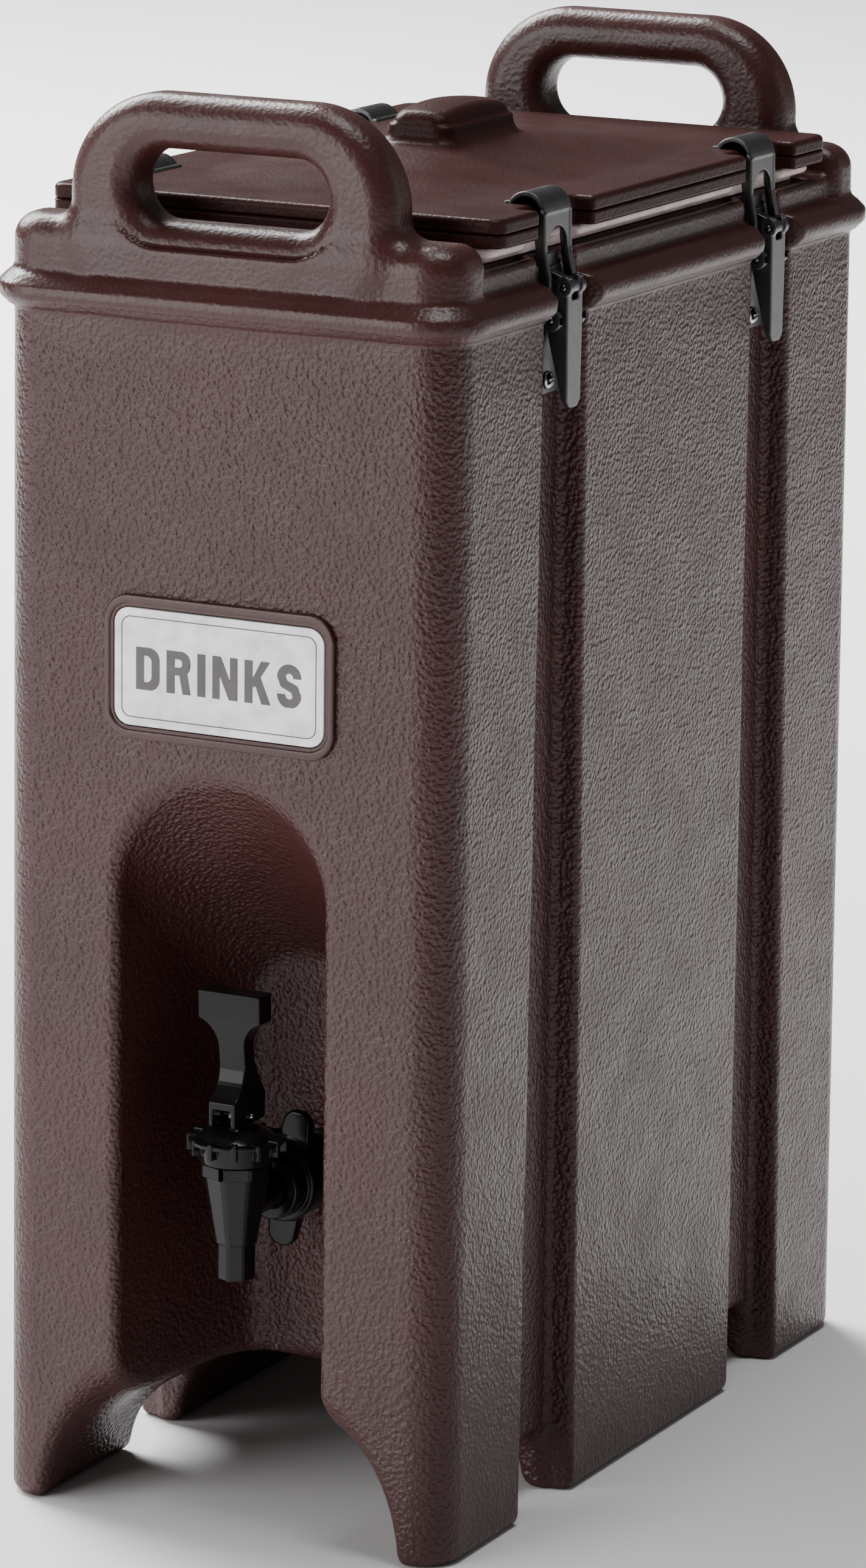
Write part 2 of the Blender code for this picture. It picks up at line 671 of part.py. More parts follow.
def add_latches():
    """Four latches that share their meshes: two on each long side, those on -X turned half round."""
    pin = [
        (0.0, HOOK_HALF_Y + 0.0006),
        (LATCH_PIN_RADIUS, HOOK_HALF_Y + 0.0006),
        (LATCH_PIN_RADIUS, -HOOK_HALF_Y - 0.0006),
        (0.0, -HOOK_HALF_Y - 0.0006),
    ]
    short = [(r, math.copysign(LEVER_HALF_Y + 0.0005, h)) for r, h in pin]
    lever_origin = (LEVER_PIVOT[0], 0.0, LEVER_PIVOT[1])
    hook_origin = (HOOK_PIVOT[0], 0.0, HOOK_PIVOT[1])
    screw_origins = [(LATCH_SEAT_X, 0.0, z) for z in LATCH_SCREW_Z]
    pieces = {
        "latch_base": (latch_base(), "latch", (0.0, 0.0, 0.0)),
        "latch_lever": (shifted(latch_lever(), [-v for v in lever_origin]), "latch", lever_origin),
        "latch_hook": (shifted(latch_hook(), [-v for v in hook_origin]), "latch", hook_origin),
        "lever_pin": (turned(short, 12, "Y"), "steel", lever_origin),
        "hook_pin": (turned(pin, 12, "Y"), "steel", hook_origin),
        "latch_screw_low": (latch_screw(), "steel", screw_origins[0]),
        "latch_screw_high": (latch_screw(), "steel", screw_origins[1]),
    }
    for side, turn, side_x in (("right", 0.0, 1), ("left", math.pi, -1)):
        for end, side_y in (("front", -1), ("rear", 1)):
            for name, (mesh, material, (x, y, z)) in pieces.items():
                place = (side_x * x, side_y * LATCH_Y + y, z)
                add_part(f"{name}_{end}_{side}", mesh, material, place, turn, smooth=35)


# Faucet ----------------------------------------------------------------------------------------


def faucet_body():
    """Collar, cone and spout about a vertical bore, with the tail that meets the shank."""
    at = (0.0, FAUCET_Y, 0.0)
    outer = turned(
        [
            (0.0, COLLAR_Z),
            (0.0150, COLLAR_Z),
            (0.0150, 0.1568),
            (0.0136, 0.1564),
            (0.0091, 0.1268),
            (0.0083, 0.1264),
            (0.0081, OUTLET_Z),
            (0.0, OUTLET_Z),
        ],
        24,
        "Z",
        at,
    )
    tail = turned(
        [(0.0, 0.0336), (0.0108, 0.0336), (0.0108, 0.0318), (0.0084, 0.0318), (0.0084, 0.0), (0.0, 0.0)],
        20,
        "Y",
        (0.0, FAUCET_Y, INLET_Z),
    )
    bore = turned(
        [(0.0, 0.17), (0.0094, 0.17), (0.0094, 0.1415), (0.0058, 0.1325), (0.0058, 0.09), (0.0, 0.09)],
        20,
        "Z",
        at,
    )
    inlet = rod(0.0052, 0.004, 0.06, "Y", (0.0, FAUCET_Y, INLET_Z), 16)
    return cut(joined(outer, tail), bore, inlet)


def faucet_bonnet():
    """The ribbed ring that screws down on the collar, with a domed top and a stem hole."""
    base = COLLAR_Z + GAP
    profile = [
        (0.0027, 0.1772),
        (0.0075, 0.1780),
        (0.0130, 0.1763),
        (0.0165, 0.1732),
        (0.0208, 0.1728),
        (0.0208, 0.1708),
        (0.0178, 0.1700),
        (0.0163, base),
        (0.0090, base),
        (0.0090, base - 0.0052),
        (0.0072, base - 0.0052),
        (0.0072, SPRING_SEAT_Z),
        (0.0027, SPRING_SEAT_Z),
    ]
    ring = turned(profile, 24, "Z", (0.0, FAUCET_Y, 0.0))
    ribs = []
    for i in range(12):
        turn = Matrix.Translation((0.0, FAUCET_Y, 0.0)) @ Matrix.Rotation(math.radians(4.0 + 30 * i), 4, "Z")
        ribs.append(moved(block((0.0168, -0.0011, 0.1665), (0.0214, 0.0011, 0.1738)), turn))
    return joined(ring, *ribs)


def faucet_paddle():
    """The handle: a wide finger pad, a narrow neck and a long forked foot that rocks on the bonnet."""
    half_x, half_y = FOOT_HALF
    right = [(half_x, FOOT_Z)] + arc((0.0194, 0.2128), 0.0130, 180, 110, 5)
    right += [(0.0150, PADDLE_TOP_Z - 0.0008), (0.0142, PADDLE_TOP_Z)]
    left = [(-x, z) for x, z in reversed(right)]
    front = [(0.0030, PADDLE_TOP_Z), (-0.0080, PADDLE_TOP_Z), (-0.0076, 0.2250), (-0.0052, 0.2120)]
    front += arc((-0.0207, 0.2050), 0.0163, 0, -64.5, 4) + [(-half_y, FOOT_Z + 0.0012)]
    rear = [(-half_y + 0.0010, FOOT_Z), (half_y - 0.0010, FOOT_Z), (half_y, FOOT_Z + 0.0012), (half_y, 0.1905)]
    rear += [(0.0090, 0.1975), (0.0042, 0.2050), (0.0030, 0.2150)]
    quarter_turn = Matrix.Translation((0.0, FAUCET_Y, 0.0)) @ Matrix.Rotation(math.pi / 2, 4, "Z")
    side_view = moved(plate(front + rear, -0.02, 0.02), quarter_turn)
    body = merged(plate(right + left, FAUCET_Y - 0.02, FAUCET_Y + 0.02), [side_view], "INTERSECT")
    slot = block((-0.0042, FAUCET_Y - 0.02, 0.17), (0.0042, FAUCET_Y + 0.02, 0.1872))
    bore = rod(0.0018, -0.02, 0.02, "X", (0.0, FAUCET_Y, PADDLE_PIVOT_Z), 12)
    return cut(body, slot, bore)


def faucet_stem():
    """The valve rod: an eye for the pivot pin at the top and a collar above the seat cup."""
    rise = turned(
        [(0.0, EYE_LOW_Z), (0.0022, EYE_LOW_Z), (0.0022, 0.1340), (0.0, 0.1340)],
        12,
        "Z",
        (0.0, FAUCET_Y, 0.0),
    )
    eye = rod(0.0034, -0.0027, 0.0027, "X", (0.0, FAUCET_Y, PADDLE_PIVOT_Z), 14)
    bore = rod(0.0018, -0.02, 0.02, "X", (0.0, FAUCET_Y, PADDLE_PIVOT_Z), 12)
    return cut(joined(rise, eye), bore)


def faucet_seat_cup():
    profile = [
        (0.0025, 0.1445),
        (0.0088, 0.1445),
        (0.0088, 0.1420),
        (0.0056, 0.1343),
        (0.0056, 0.1328),
        (0.0, 0.1328),
        (0.0, 0.1337),
        (0.0025, 0.1337),
    ]
    return turned(profile, 20, "Z", (0.0, FAUCET_Y, 0.0))


def faucet_spring():
    """A compression spring between the seat cup and the bonnet."""
    coils, steps, radius, wire = 4.5, 10, 0.0050, 0.0005
    low, high = 0.1445 + GAP + wire, SPRING_SEAT_Z - GAP - wire
    curve = bpy.data.curves.new("coil", "CURVE")
    curve.dimensions = "3D"
    curve.bevel_depth = wire
    curve.bevel_resolution = 1
    curve.use_fill_caps = True
    spline = curve.splines.new("POLY")
    count = int(coils * steps)
    spline.points.add(count)
    for i, point in enumerate(spline.points):
        turn = 2 * math.pi * i / steps
        height = low + (high - low) * i / count
        point.co = (radius * math.cos(turn), FAUCET_Y + radius * math.sin(turn), height, 1.0)
    guide = bpy.data.objects.new("coil", curve)
    bpy.context.scene.collection.objects.link(guide)
    return evaluated(guide)


def faucet_shank():
    """The threaded tube through the wall, with the flange that bears on the recess."""
    end, front = 0.0435, -0.0370
    profile = [(0.0070, end), (0.0110, end), (0.0110, -0.0026), (0.0155, -0.0026), (0.0155, -0.0062)]
    profile += [(0.0110, -0.0062), (0.0110, front), (0.0070, front)]
    return turned(profile, 24, "Y", (0.0, WALL_Y, INLET_Z))


def wing_nut():
    """The nut that draws the faucet's tail against the shank, with two wings."""
    at = (0.0, WALL_Y, INLET_Z)
    profile = [
        (0.0114, -0.0190),
        (0.0162, -0.0190),
        (0.0172, -0.0200),
        (0.0172, -0.0315),
        (0.0138, -0.0340),
        (0.0138, -0.0415),
        (0.0128, -0.0425),
        (0.0088, -0.0425),
        (0.0088, -0.0395),
        (0.0114, -0.0395),
    ]
    ring = turned(profile, 24, "Y", at)
    wing = [(-0.0082, 0.0130), (0.0082, 0.0130), (0.0066, 0.0260)]
    wing += arc((0.0, 0.0260), (0.0066, 0.0050), 30, 150, 4) + [(-0.0066, 0.0260)]
    upright = plate(wing, -0.0260, -0.0195)
    up = moved(upright, Matrix.Rotation(math.radians(WING_LEAN_DEGREES), 4, "Y"))
    down = moved(up, Matrix.Rotation(math.pi, 4, "Y"))
    return joined(ring, shifted(up, at), shifted(down, at))


def shank_nut():
    hexagon = rod(0.0160, 0.0, 0.0080, "Y", (0.0, TANK_FRONT_LOW_Y + 0.0028, INLET_Z), 6)
    return cut(hexagon, rod(0.0113, -0.02, 0.02, "Y", (0.0, TANK_FRONT_LOW_Y, INLET_Z), 20))


def about(mesh, origin):
    """A mesh measured from the origin of the joint that it turns about."""
    return shifted(mesh, [-v for v in origin])


def add_faucet():
    pivot = (0.0, FAUCET_Y, PADDLE_PIVOT_Z)
    nut_center = (0.0, WALL_Y - 0.0345, INLET_Z)
    wall_at = (0.0, WALL_Y, INLET_Z)
    tank_at = (0.0, TANK_FRONT_LOW_Y, INLET_Z)
    add_part("faucet_body", faucet_body(), "faucet", smooth=35)
    add_part("faucet_bonnet", faucet_bonnet(), "faucet", smooth=35)
    add_part("faucet_paddle", about(faucet_paddle(), pivot), "faucet", pivot, smooth=35)
    pin = rod(0.0014, -0.0082, 0.0082, "X", (0.0, 0.0, 0.0), 12)
    add_part("faucet_pivot_pin", pin, "steel", pivot)
    add_part("faucet_stem", about(faucet_stem(), pivot), "steel", pivot)
    add_part("faucet_seat_cup", faucet_seat_cup(), "silicone")
    add_part("faucet_spring", faucet_spring(), "steel")
    add_part("faucet_shank", faucet_shank(), "faucet")
    add_part("wing_nut", about(wing_nut(), nut_center), "faucet", nut_center)
    add_part("shank_gasket", tube(0.0165, 0.0113, -0.0023, -GAP, "Y", wall_at), "silicone")
    add_part("shank_washer", tube(0.0150, 0.0113, GAP, 0.0024, "Y", tank_at), "silicone")
    add_part("shank_nut", shank_nut(), "faucet")


add_body()
add_lid()
add_latches()
add_faucet()
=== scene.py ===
"""Looks of the insulated drinks dispenser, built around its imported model.

The moulded and turned pieces are written as fields: functions of x, y and z in metres that are below
zero inside the solid. Fields are joined and cut with rounded edges, and surface() turns one into a mesh.
"""

import math

import bpy
import numpy as np
from mathutils import Matrix, Vector


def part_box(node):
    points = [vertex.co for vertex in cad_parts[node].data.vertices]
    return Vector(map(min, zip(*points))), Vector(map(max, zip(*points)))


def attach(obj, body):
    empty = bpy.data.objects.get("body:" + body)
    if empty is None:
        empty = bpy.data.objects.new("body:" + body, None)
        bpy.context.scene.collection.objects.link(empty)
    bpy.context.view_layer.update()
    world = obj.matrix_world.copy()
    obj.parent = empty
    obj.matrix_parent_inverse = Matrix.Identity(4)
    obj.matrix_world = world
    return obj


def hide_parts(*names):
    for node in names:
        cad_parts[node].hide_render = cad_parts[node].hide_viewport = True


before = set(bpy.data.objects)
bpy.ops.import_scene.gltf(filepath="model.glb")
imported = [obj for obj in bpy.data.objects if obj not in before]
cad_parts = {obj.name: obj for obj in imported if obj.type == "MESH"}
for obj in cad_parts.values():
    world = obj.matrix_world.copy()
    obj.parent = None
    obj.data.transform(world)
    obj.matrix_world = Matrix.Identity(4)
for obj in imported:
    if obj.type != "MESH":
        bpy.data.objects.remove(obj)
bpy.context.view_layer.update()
LEFT_TURN = Matrix.Rotation(math.pi, 4, "Z")


def span(node):
    """A node's lowest and highest corner, as arrays."""
    low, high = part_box(node)
    return np.array(low), np.array(high)


# Fields ----------------------------------------------------------------------------------------


def both(a, b, radius=0.0):
    """The shape inside a and b, its meeting edge rounded to radius."""
    if radius == 0.0:
        return np.maximum(a, b)
    corner = np.hypot(np.maximum(radius + a, 0.0), np.maximum(radius + b, 0.0))
    return np.minimum(-radius, np.maximum(a, b)) + corner


def either(a, b, radius=0.0):
    """The shape inside a or b, with a fillet of radius where they meet."""
    return -both(-a, -b, radius)


def without(a, b, radius=0.0):
    """a with b cut out of it, the cut's edge rounded to radius."""
    return both(a, -b, radius)


def between(value, low, high):
    return np.maximum(low - value, value - high)


def rectangle(u, v, half_u, half_v, radius):
    """A rectangle with round corners about u = v = 0."""
    a = np.abs(u) - half_u + radius
    b = np.abs(v) - half_v + radius
    return np.hypot(np.maximum(a, 0.0), np.maximum(b, 0.0)) + np.minimum(np.maximum(a, b), 0.0) - radius


def segment(u, v, start, end):
    """The distance to a straight line between two points."""
    du, dv = end[0] - start[0], end[1] - start[1]
    along = np.clip(((u - start[0]) * du + (v - start[1]) * dv) / (du * du + dv * dv), 0.0, 1.0)
    return np.hypot(u - start[0] - along * du, v - start[1] - along * dv)


def polygon(u, v, points):
    """A filled outline: below zero inside it."""
    nearest = np.inf
    inside = np.zeros(np.broadcast(u, v).shape, bool)
    for start, end in zip(points, points[1:] + points[:1]):
        nearest = np.minimum(nearest, segment(u, v, start, end))
        crosses = (start[1] > v) != (end[1] > v)
        rise = end[1] - start[1] or 1e-12
        inside ^= crosses & (u < (end[0] - start[0]) * (v - start[1]) / rise + start[0])
    return np.where(inside, -nearest, nearest)


def cells_of(field, low, high, step):
    """The field's values at the corners of a grid, and the grid's steps."""
    low, high, step = (np.asarray(v, float) * np.ones(3) for v in (low, high, step))
    low = low - 1.5 * step
    count = np.ceil((high + 1.5 * step - low) / step).astype(int) + 1
    x, y, z = (low[i] + step[i] * np.arange(count[i]) for i in range(3))
    values = np.empty(count, np.float32)
    for i in range(0, count[0], 12):
        values[i : i + 12] = field(x[i : i + 12, None, None], y[None, :, None], z[None, None, :])
    return values, low, step


def crossing_points(values, low, step):
    """One point in each grid cell that the surface passes through, and each cell's index."""
    inside = values < 0
    corners = [(i, j, k) for i in (0, 1) for j in (0, 1) for k in (0, 1)]
    ends = [slice(None, -1), slice(1, None)]
    filled = sum(inside[ends[i], ends[j], ends[k]].astype(np.int8) for i, j, k in corners)
    at = np.argwhere((filled > 0) & (filled < 8))
    index = np.full(filled.shape, -1, np.int64)
    index[tuple(at.T)] = np.arange(len(at))
    total, hits = np.zeros((len(at), 3)), np.zeros(len(at))
    for axis in range(3):
        for corner in corners:
            if corner[axis]:
                continue
            far = list(corner)
            far[axis] = 1
            v0 = values[tuple((at + corner).T)].astype(float)
            v1 = values[tuple((at + far).T)].astype(float)
            crossed = (v0 < 0) != (v1 < 0)
            spot = np.tile(np.array(corner, float), (len(at), 1))
            spot[:, axis] = v0 / np.where(crossed, v0 - v1, 1.0)
            total += np.where(crossed[:, None], spot, 0.0)
            hits += crossed
    return low + step * (at + total / hits[:, None]), index


def crossing_quads(values, index):
    """A quad around each grid edge that the surface crosses, facing out."""
    inside = values < 0
    quads = []
    for axis in range(3):
        b, c = (axis + 1) % 3, (axis + 2) % 3
        near = [slice(1, -1)] * 3
        far = [slice(1, -1)] * 3
        near[axis], far[axis] = slice(None, -1), slice(1, None)
        starts, stops = inside[tuple(near)], inside[tuple(far)]
        at = np.argwhere(starts != stops)
        out = starts[tuple(at.T)]
        at[:, b] += 1
        at[:, c] += 1
        ring = []
        for step_b, step_c in ((-1, -1), (0, -1), (0, 0), (-1, 0)):
            cell = at.copy()
            cell[:, b] += step_b
            cell[:, c] += step_c
            ring.append(index[tuple(cell.T)])
        ring = np.stack(ring, 1)
        quads.append(np.where(out[:, None], ring, ring[:, ::-1]))
    return np.concatenate(quads)


def slope(field, points, reach):
    """The field's gradient at each point."""
    rows = []
    for axis in range(3):
        step = np.zeros(3)
        step[axis] = reach
        ahead, behind = points + step, points - step
        rows.append((field(*ahead.T) - field(*behind.T)) / (2 * reach))
    return np.stack(rows, 1)


def settle(field, points, step, rounds=3):
    """Moves the points onto the surface."""
    reach = 0.05 * float(np.min(step))
    most = 0.5 * float(np.min(step))
    for _ in range(rounds):
        gradient = slope(field, points, reach)
        value = field(*points.T)
        move = gradient * (value / np.maximum((gradient**2).sum(1), 0.05))[:, None]
        length = np.linalg.norm(move, axis=1)
        points = points - move * np.minimum(1.0, most / np.maximum(length, 1e-12))[:, None]
    return points


def surface(field, low, high, step, keep=1.0):
    """The mesh of a field between two corners. keep is the share of triangles kept, fewest on flat parts."""
    values, origin, step = cells_of(field, low, high, step)
    points, index = crossing_points(values, origin, step)
    points = settle(field, points, step)
    mesh = bpy.data.meshes.new("surface")
    mesh.from_pydata(points.tolist(), [], crossing_quads(values, index).tolist())
    if keep < 1.0:
        mesh = thinned(mesh, keep)
        points = np.empty(len(mesh.vertices) * 3)
        mesh.vertices.foreach_get("co", points)
        points = settle(field, points.reshape(-1, 3), step, 1)
        mesh.vertices.foreach_set("co", points.ravel())
    normals = slope(field, points, 0.1 * float(np.min(step)))
    normals /= np.maximum(np.linalg.norm(normals, axis=1), 1e-9)[:, None]
    mesh.polygons.foreach_set("use_smooth", [True] * len(mesh.polygons))
    mesh.update()
    mesh.normals_split_custom_set_from_vertices(normals.tolist())
    return mesh


def thinned(mesh, keep):
    """The mesh with triangles taken away where it is flat."""
    obj = bpy.data.objects.new("thinned", mesh)
    bpy.context.scene.collection.objects.link(obj)
    fewer = obj.modifiers.new("fewer", "DECIMATE")
    fewer.ratio = keep
    graph = bpy.context.evaluated_depsgraph_get()
    result = bpy.data.meshes.new_from_object(obj.evaluated_get(graph))
    bpy.data.objects.remove(obj)
    bpy.data.meshes.remove(mesh)
    return result


def show(name, mesh, material, body, replaced=(), place=None):
    """Adds a finished piece to the scene."""
    obj = bpy.data.objects.new(name, mesh)
    bpy.context.scene.collection.objects.link(obj)
    if place is not None:
        obj.matrix_world = place
    if not mesh.materials:
        mesh.materials.append(material)
    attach(obj, body)
    if replaced:
        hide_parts(*replaced)
    return obj


# Materials -------------------------------------------------------------------------------------


class Look:
    """A Principled material and short calls for its node tree."""

    def __init__(self, name):
        self.material = bpy.data.materials.new(name)
        self.material.use_nodes = True
        self.tree = self.material.node_tree
        self.shader = self.tree.nodes["Principled BSDF"]
        self.place = self.tree.nodes.new("ShaderNodeTexCoord").outputs["Object"]

    def node(self, kind, **values):
        made = self.tree.nodes.new("ShaderNode" + kind)
        for key, value in values.items():
            if hasattr(made, key):
                setattr(made, key, value)
            else:
                made.inputs[key.replace("_", " ").title()].default_value = value
        return made

    def link(self, source, target):
        self.tree.links.new(source, target)

    def noise(self, size, detail):
        """Cloudy noise whose lumps are about size metres across."""
        made = self.node("TexNoise", Scale=1.0 / size, Detail=detail)
        self.link(self.place, made.inputs["Vector"])
        return made.outputs["Fac"]

    def cells(self, size, smooth=0.6):
        """The height of rounded pebbles about size metres across."""
        made = self.node("TexVoronoi", feature="SMOOTH_F1", Scale=1.0 / size, Smoothness=smooth)
        self.link(self.place, made.inputs["Vector"])
        return made.outputs["Distance"]

    def ramp(self, value, stops):
        made = self.node("ValToRGB")
        ramp = made.color_ramp.elements
        while len(ramp) < len(stops):
            ramp.new(0.5)
        for element, (position, color) in zip(ramp, stops):
            element.position = position
            element.color = color if len(color) == 4 else (*color, 1.0)
        self.link(value, made.inputs["Fac"])
        return made.outputs["Color"]

    def math(self, operation, a, b=None):
        made = self.node("Math", operation=operation)
        for slot, value in zip(made.inputs, (a, b)):
            if value is None:
                continue
            if isinstance(value, (int, float)):
                slot.default_value = value
            else:
                self.link(value, slot)
        return made.outputs[0]

    def bump(self, height, strength, distance):
        made = self.node("Bump", Strength=strength, Distance=distance)
        self.link(height, made.inputs["Height"])
        return made.outputs["Normal"]

    def finish(self, color, roughness, normal=None, **fixed):
        for value, name in ((color, "Base Color"), (roughness, "Roughness"), (normal, "Normal")):
            if value is not None:
                self.link(value, self.shader.inputs[name])
        for name, value in fixed.items():
            self.shader.inputs[name.replace("_", " ")].default_value = value
        return self.material


def gray(value):
    return (value, value, value)


def pebbled_plastic(name, color, grain, strength, shine=0.5, calm=1.0):
    """Moulded polyethylene, slightly clouded. Its pebbles fade to the share calm above the bead."""
    look = Look(name)
    dark = [0.88 * c for c in color]
    light = [1.12 * c for c in color]
    clouds = look.noise(0.06, 4.0)
    tint = look.ramp(clouds, [(0.3, dark), (0.7, light)])
    gloss = look.ramp(look.noise(0.02, 3.0), [(0.3, gray(0.32)), (0.7, gray(0.42))])
    pebbles = look.math("ADD", look.cells(grain), look.noise(0.8 * grain, 2.0))
    split = look.node("SeparateXYZ")
    look.link(look.place, split.inputs["Vector"])
    fade = look.ramp(split.outputs["Z"], [(0.505, gray(1.0)), (0.530, gray(calm))])
    normal = look.bump(look.math("MULTIPLY", pebbles, fade), strength, 0.0011)
    return look.finish(tint, gloss, normal, Specular_IOR_Level=shine)


BROWN = (0.046, 0.0130, 0.0115)
shell_skin = pebbled_plastic("shell_skin", BROWN, 0.0021, 0.60, 0.42, 0.25)
# The lid's plastic copies the body's pebbled brown with less red in its colour: painted shade, darkening the
# lid's upper faces that the lamps overhead light more strongly than the sides.
lid_shaded_skin = pebbled_plastic("lid_shaded_skin", (0.036, 0.0130, 0.0115), 0.0018, 0.12, 0.08)
smooth_skin = pebbled_plastic("smooth_skin", BROWN, 0.0016, 0.08)
tank_skin = pebbled_plastic("tank_skin", (0.12, 0.085, 0.075), 0.0030, 0.06)


def plain_plastic(name, color, rough, fine_bump, shine=0.5):
    """Injection-moulded plastic: slight streaks in colour and gloss, and faint ripples."""
    look = Look(name)
    dark = [0.8 * c for c in color]
    light = [1.2 * c for c in color]
    tint = look.ramp(look.noise(0.012, 3.0), [(0.3, dark), (0.7, light)])
    gloss = look.ramp(look.noise(0.006, 3.0), [(0.3, gray(0.85 * rough)), (0.7, gray(1.2 * rough))])
    normal = look.bump(look.noise(0.0012, 2.0), fine_bump, 0.0002)
    return look.finish(tint, gloss, normal, Specular_IOR_Level=shine)


def metal(name, color, rough):
    """Drawn steel with fine scratches."""
    look = Look(name)
    tint = look.ramp(look.noise(0.004, 3.0), [(0.3, [0.8 * c for c in color]), (0.7, color)])
    gloss = look.ramp(look.noise(0.001, 3.0), [(0.3, gray(0.7 * rough)), (0.7, gray(1.3 * rough))])
    normal = look.bump(look.noise(0.0006, 2.0), 0.15, 0.0001)
    return look.finish(tint, gloss, normal, Metallic=1.0)


latch_black = plain_plastic("latch_black", (0.022, 0.021, 0.022), 0.30, 0.12, 0.9)
faucet_black = plain_plastic("faucet_black", (0.008, 0.007, 0.008), 0.15, 0.05, 0.20)
label_white = plain_plastic("label_white", (0.92, 0.92, 0.92), 0.40, 0.02)
label_ink = plain_plastic("label_ink", (0.085, 0.075, 0.075), 0.45, 0.02)
pale_rubber = plain_plastic("pale_rubber", (0.74, 0.60, 0.58), 0.40, 0.08)
dark_rubber = plain_plastic("dark_rubber", (0.020, 0.020, 0.021), 0.55, 0.08)
foam_skin = plain_plastic("foam_skin", (0.75, 0.68, 0.45), 0.80, 0.50)
bright_steel = metal("bright_steel", (0.72, 0.72, 0.73), 0.22)
dark_steel = metal("dark_steel", (0.16, 0.16, 0.165), 0.25)


# Body ------------------------------------------------------------------------------------------

BODY_HALF_X, BODY_HALF_Y, BODY_DRAFT, CORNER = 0.1090, 0.2045, 0.0015, 0.0190
RIM_Z, RIM_HALF_X = 0.5490, 0.1030
BLOCK_TOP_Z, BLOCK_INNER_Y, UPPER_LOW_Z = 0.5620, 0.1720, 0.5300
BEAD_Z, BEAD_HALF_HEIGHT, BEAD_PROUD = 0.5305, 0.0072, 0.0070
HANDLE_TOP_Z, HANDLE_HALF_X, HANDLE_CORNER = 0.6160, 0.0770, 0.0430
HANDLE_Y, HANDLE_HALF_THICK, HANDLE_ROUND = 0.1880, 0.0140, 0.0112
GRIP_Z, GRIP_HALF_X, GRIP_HALF_Z = 0.5780, 0.0450, 0.0150
GROOVE_X, GROOVE_LOW_Y, GROOVE_HIGH_Y, GROOVE_LEAN = 0.0970, (0.0805, 0.1310), (0.0830, 0.1205), 0.0030
GAP_Y, GAP_HALF_Y, GAP_Z = 0.1060, 0.0200, 0.0280
RECESS_HALF_X, RECESS_SPRING_Z, RECESS_DEPTH = 0.0490, 0.2830, 0.0885
RECESS_BACK_HALF_X, RECESS_BACK_TOP_Z = 0.0270, 0.2370
WALL_Y = RECESS_DEPTH - BODY_HALF_Y
TUNNEL_FLAT, TUNNEL_SIDE, TUNNEL_HEIGHT, TUNNEL_MOUTH = 0.0300, 0.0565, 0.0520, 0.0720
SKIN = 0.0040
INLET_Z = 0.1420
LATCH_Y, LATCH_SCREW_Z = 0.1015, (0.4948, 0.5195)


def body_sides(x, y, z):
    draft = BODY_DRAFT * z / BLOCK_TOP_Z
    return rectangle(x, y, BODY_HALF_X - draft, BODY_HALF_Y - draft, CORNER)


def handles(x, y, z):
    middle = (HANDLE_TOP_Z + RIM_Z - 0.03) / 2
    outline = rectangle(x, z - middle, HANDLE_HALF_X, HANDLE_TOP_Z - middle, HANDLE_CORNER)
    return both(outline, np.abs(np.abs(y) - HANDLE_Y) - HANDLE_HALF_THICK, HANDLE_ROUND)


def grips(x, y, z):
    """The holes of both handles, whose edges flare out to the faces."""
    offset = np.abs(np.abs(y) - HANDLE_Y) - (HANDLE_HALF_THICK - HANDLE_ROUND)
    lean = np.clip(offset / (HANDLE_ROUND + 0.0006), 0.0, 0.995)
    flare = HANDLE_ROUND * (1 - np.sqrt(1 - lean**2))
    return rectangle(x, z - GRIP_Z, GRIP_HALF_X, GRIP_HALF_Z, GRIP_HALF_Z) - flare


def groove(x, y, z):
    """The four side grooves that the latches stand in."""
    t = z / RIM_Z
    inner = GROOVE_LOW_Y[0] + (GROOVE_HIGH_Y[0] - GROOVE_LOW_Y[0]) * t
    outer = GROOVE_LOW_Y[1] + (GROOVE_HIGH_Y[1] - GROOVE_LOW_Y[1]) * t
    lean = GROOVE_LEAN * np.clip((BODY_HALF_X - np.abs(x)) / (BODY_HALF_X - GROOVE_X), -0.3, 1.0)
    width = np.abs(np.abs(y) - (inner + outer) / 2) - (outer - inner) / 2 + lean
    return both(GROOVE_X - np.abs(x), width, 0.003)


def recess(x, y, z):
    """The faucet's recess: an arch that narrows and comes down towards its back wall."""
    t = np.clip((y + BODY_HALF_Y) / RECESS_DEPTH, 0.0, 1.0)
    reach = 1.01
    bend = (reach - np.sqrt(reach**2 - t**2)) / (reach - math.sqrt(reach**2 - 1))
    half = RECESS_HALF_X + (RECESS_BACK_HALF_X - RECESS_HALF_X) * bend
    front_top = RECESS_SPRING_Z + RECESS_HALF_X
    top = front_top + (RECESS_BACK_TOP_Z - front_top) * t
    arch = np.hypot(x, np.maximum(z - top + half, 0.0)) - half
    return both(arch, y - WALL_Y, 0.004)


def tunnel(x, y, z):
    """The passage between the legs, taller at both mouths."""
    rise = np.clip((np.abs(y) - 0.160) / (BODY_HALF_Y - 0.160), 0.0, 1.2)
    height = TUNNEL_HEIGHT + (TUNNEL_MOUTH - TUNNEL_HEIGHT) * rise**3.2
    lift = 0.004
    out = np.hypot(np.maximum(np.abs(x) - TUNNEL_FLAT, 0.0) / TUNNEL_SIDE, (z + lift) / (height + lift))
    return (out - 1.0) * height


def bead(sides, z):
    """The ledge round the shoulder: an upright face with slopes above and below it."""
    off = np.abs(z - BEAD_Z)
    slopes = (sides + off - BEAD_PROUD - 0.0025) / math.sqrt(2)
    return both(both(sides - BEAD_PROUD, slopes, 0.0008), off - BEAD_HALF_HEIGHT, 0.0008)


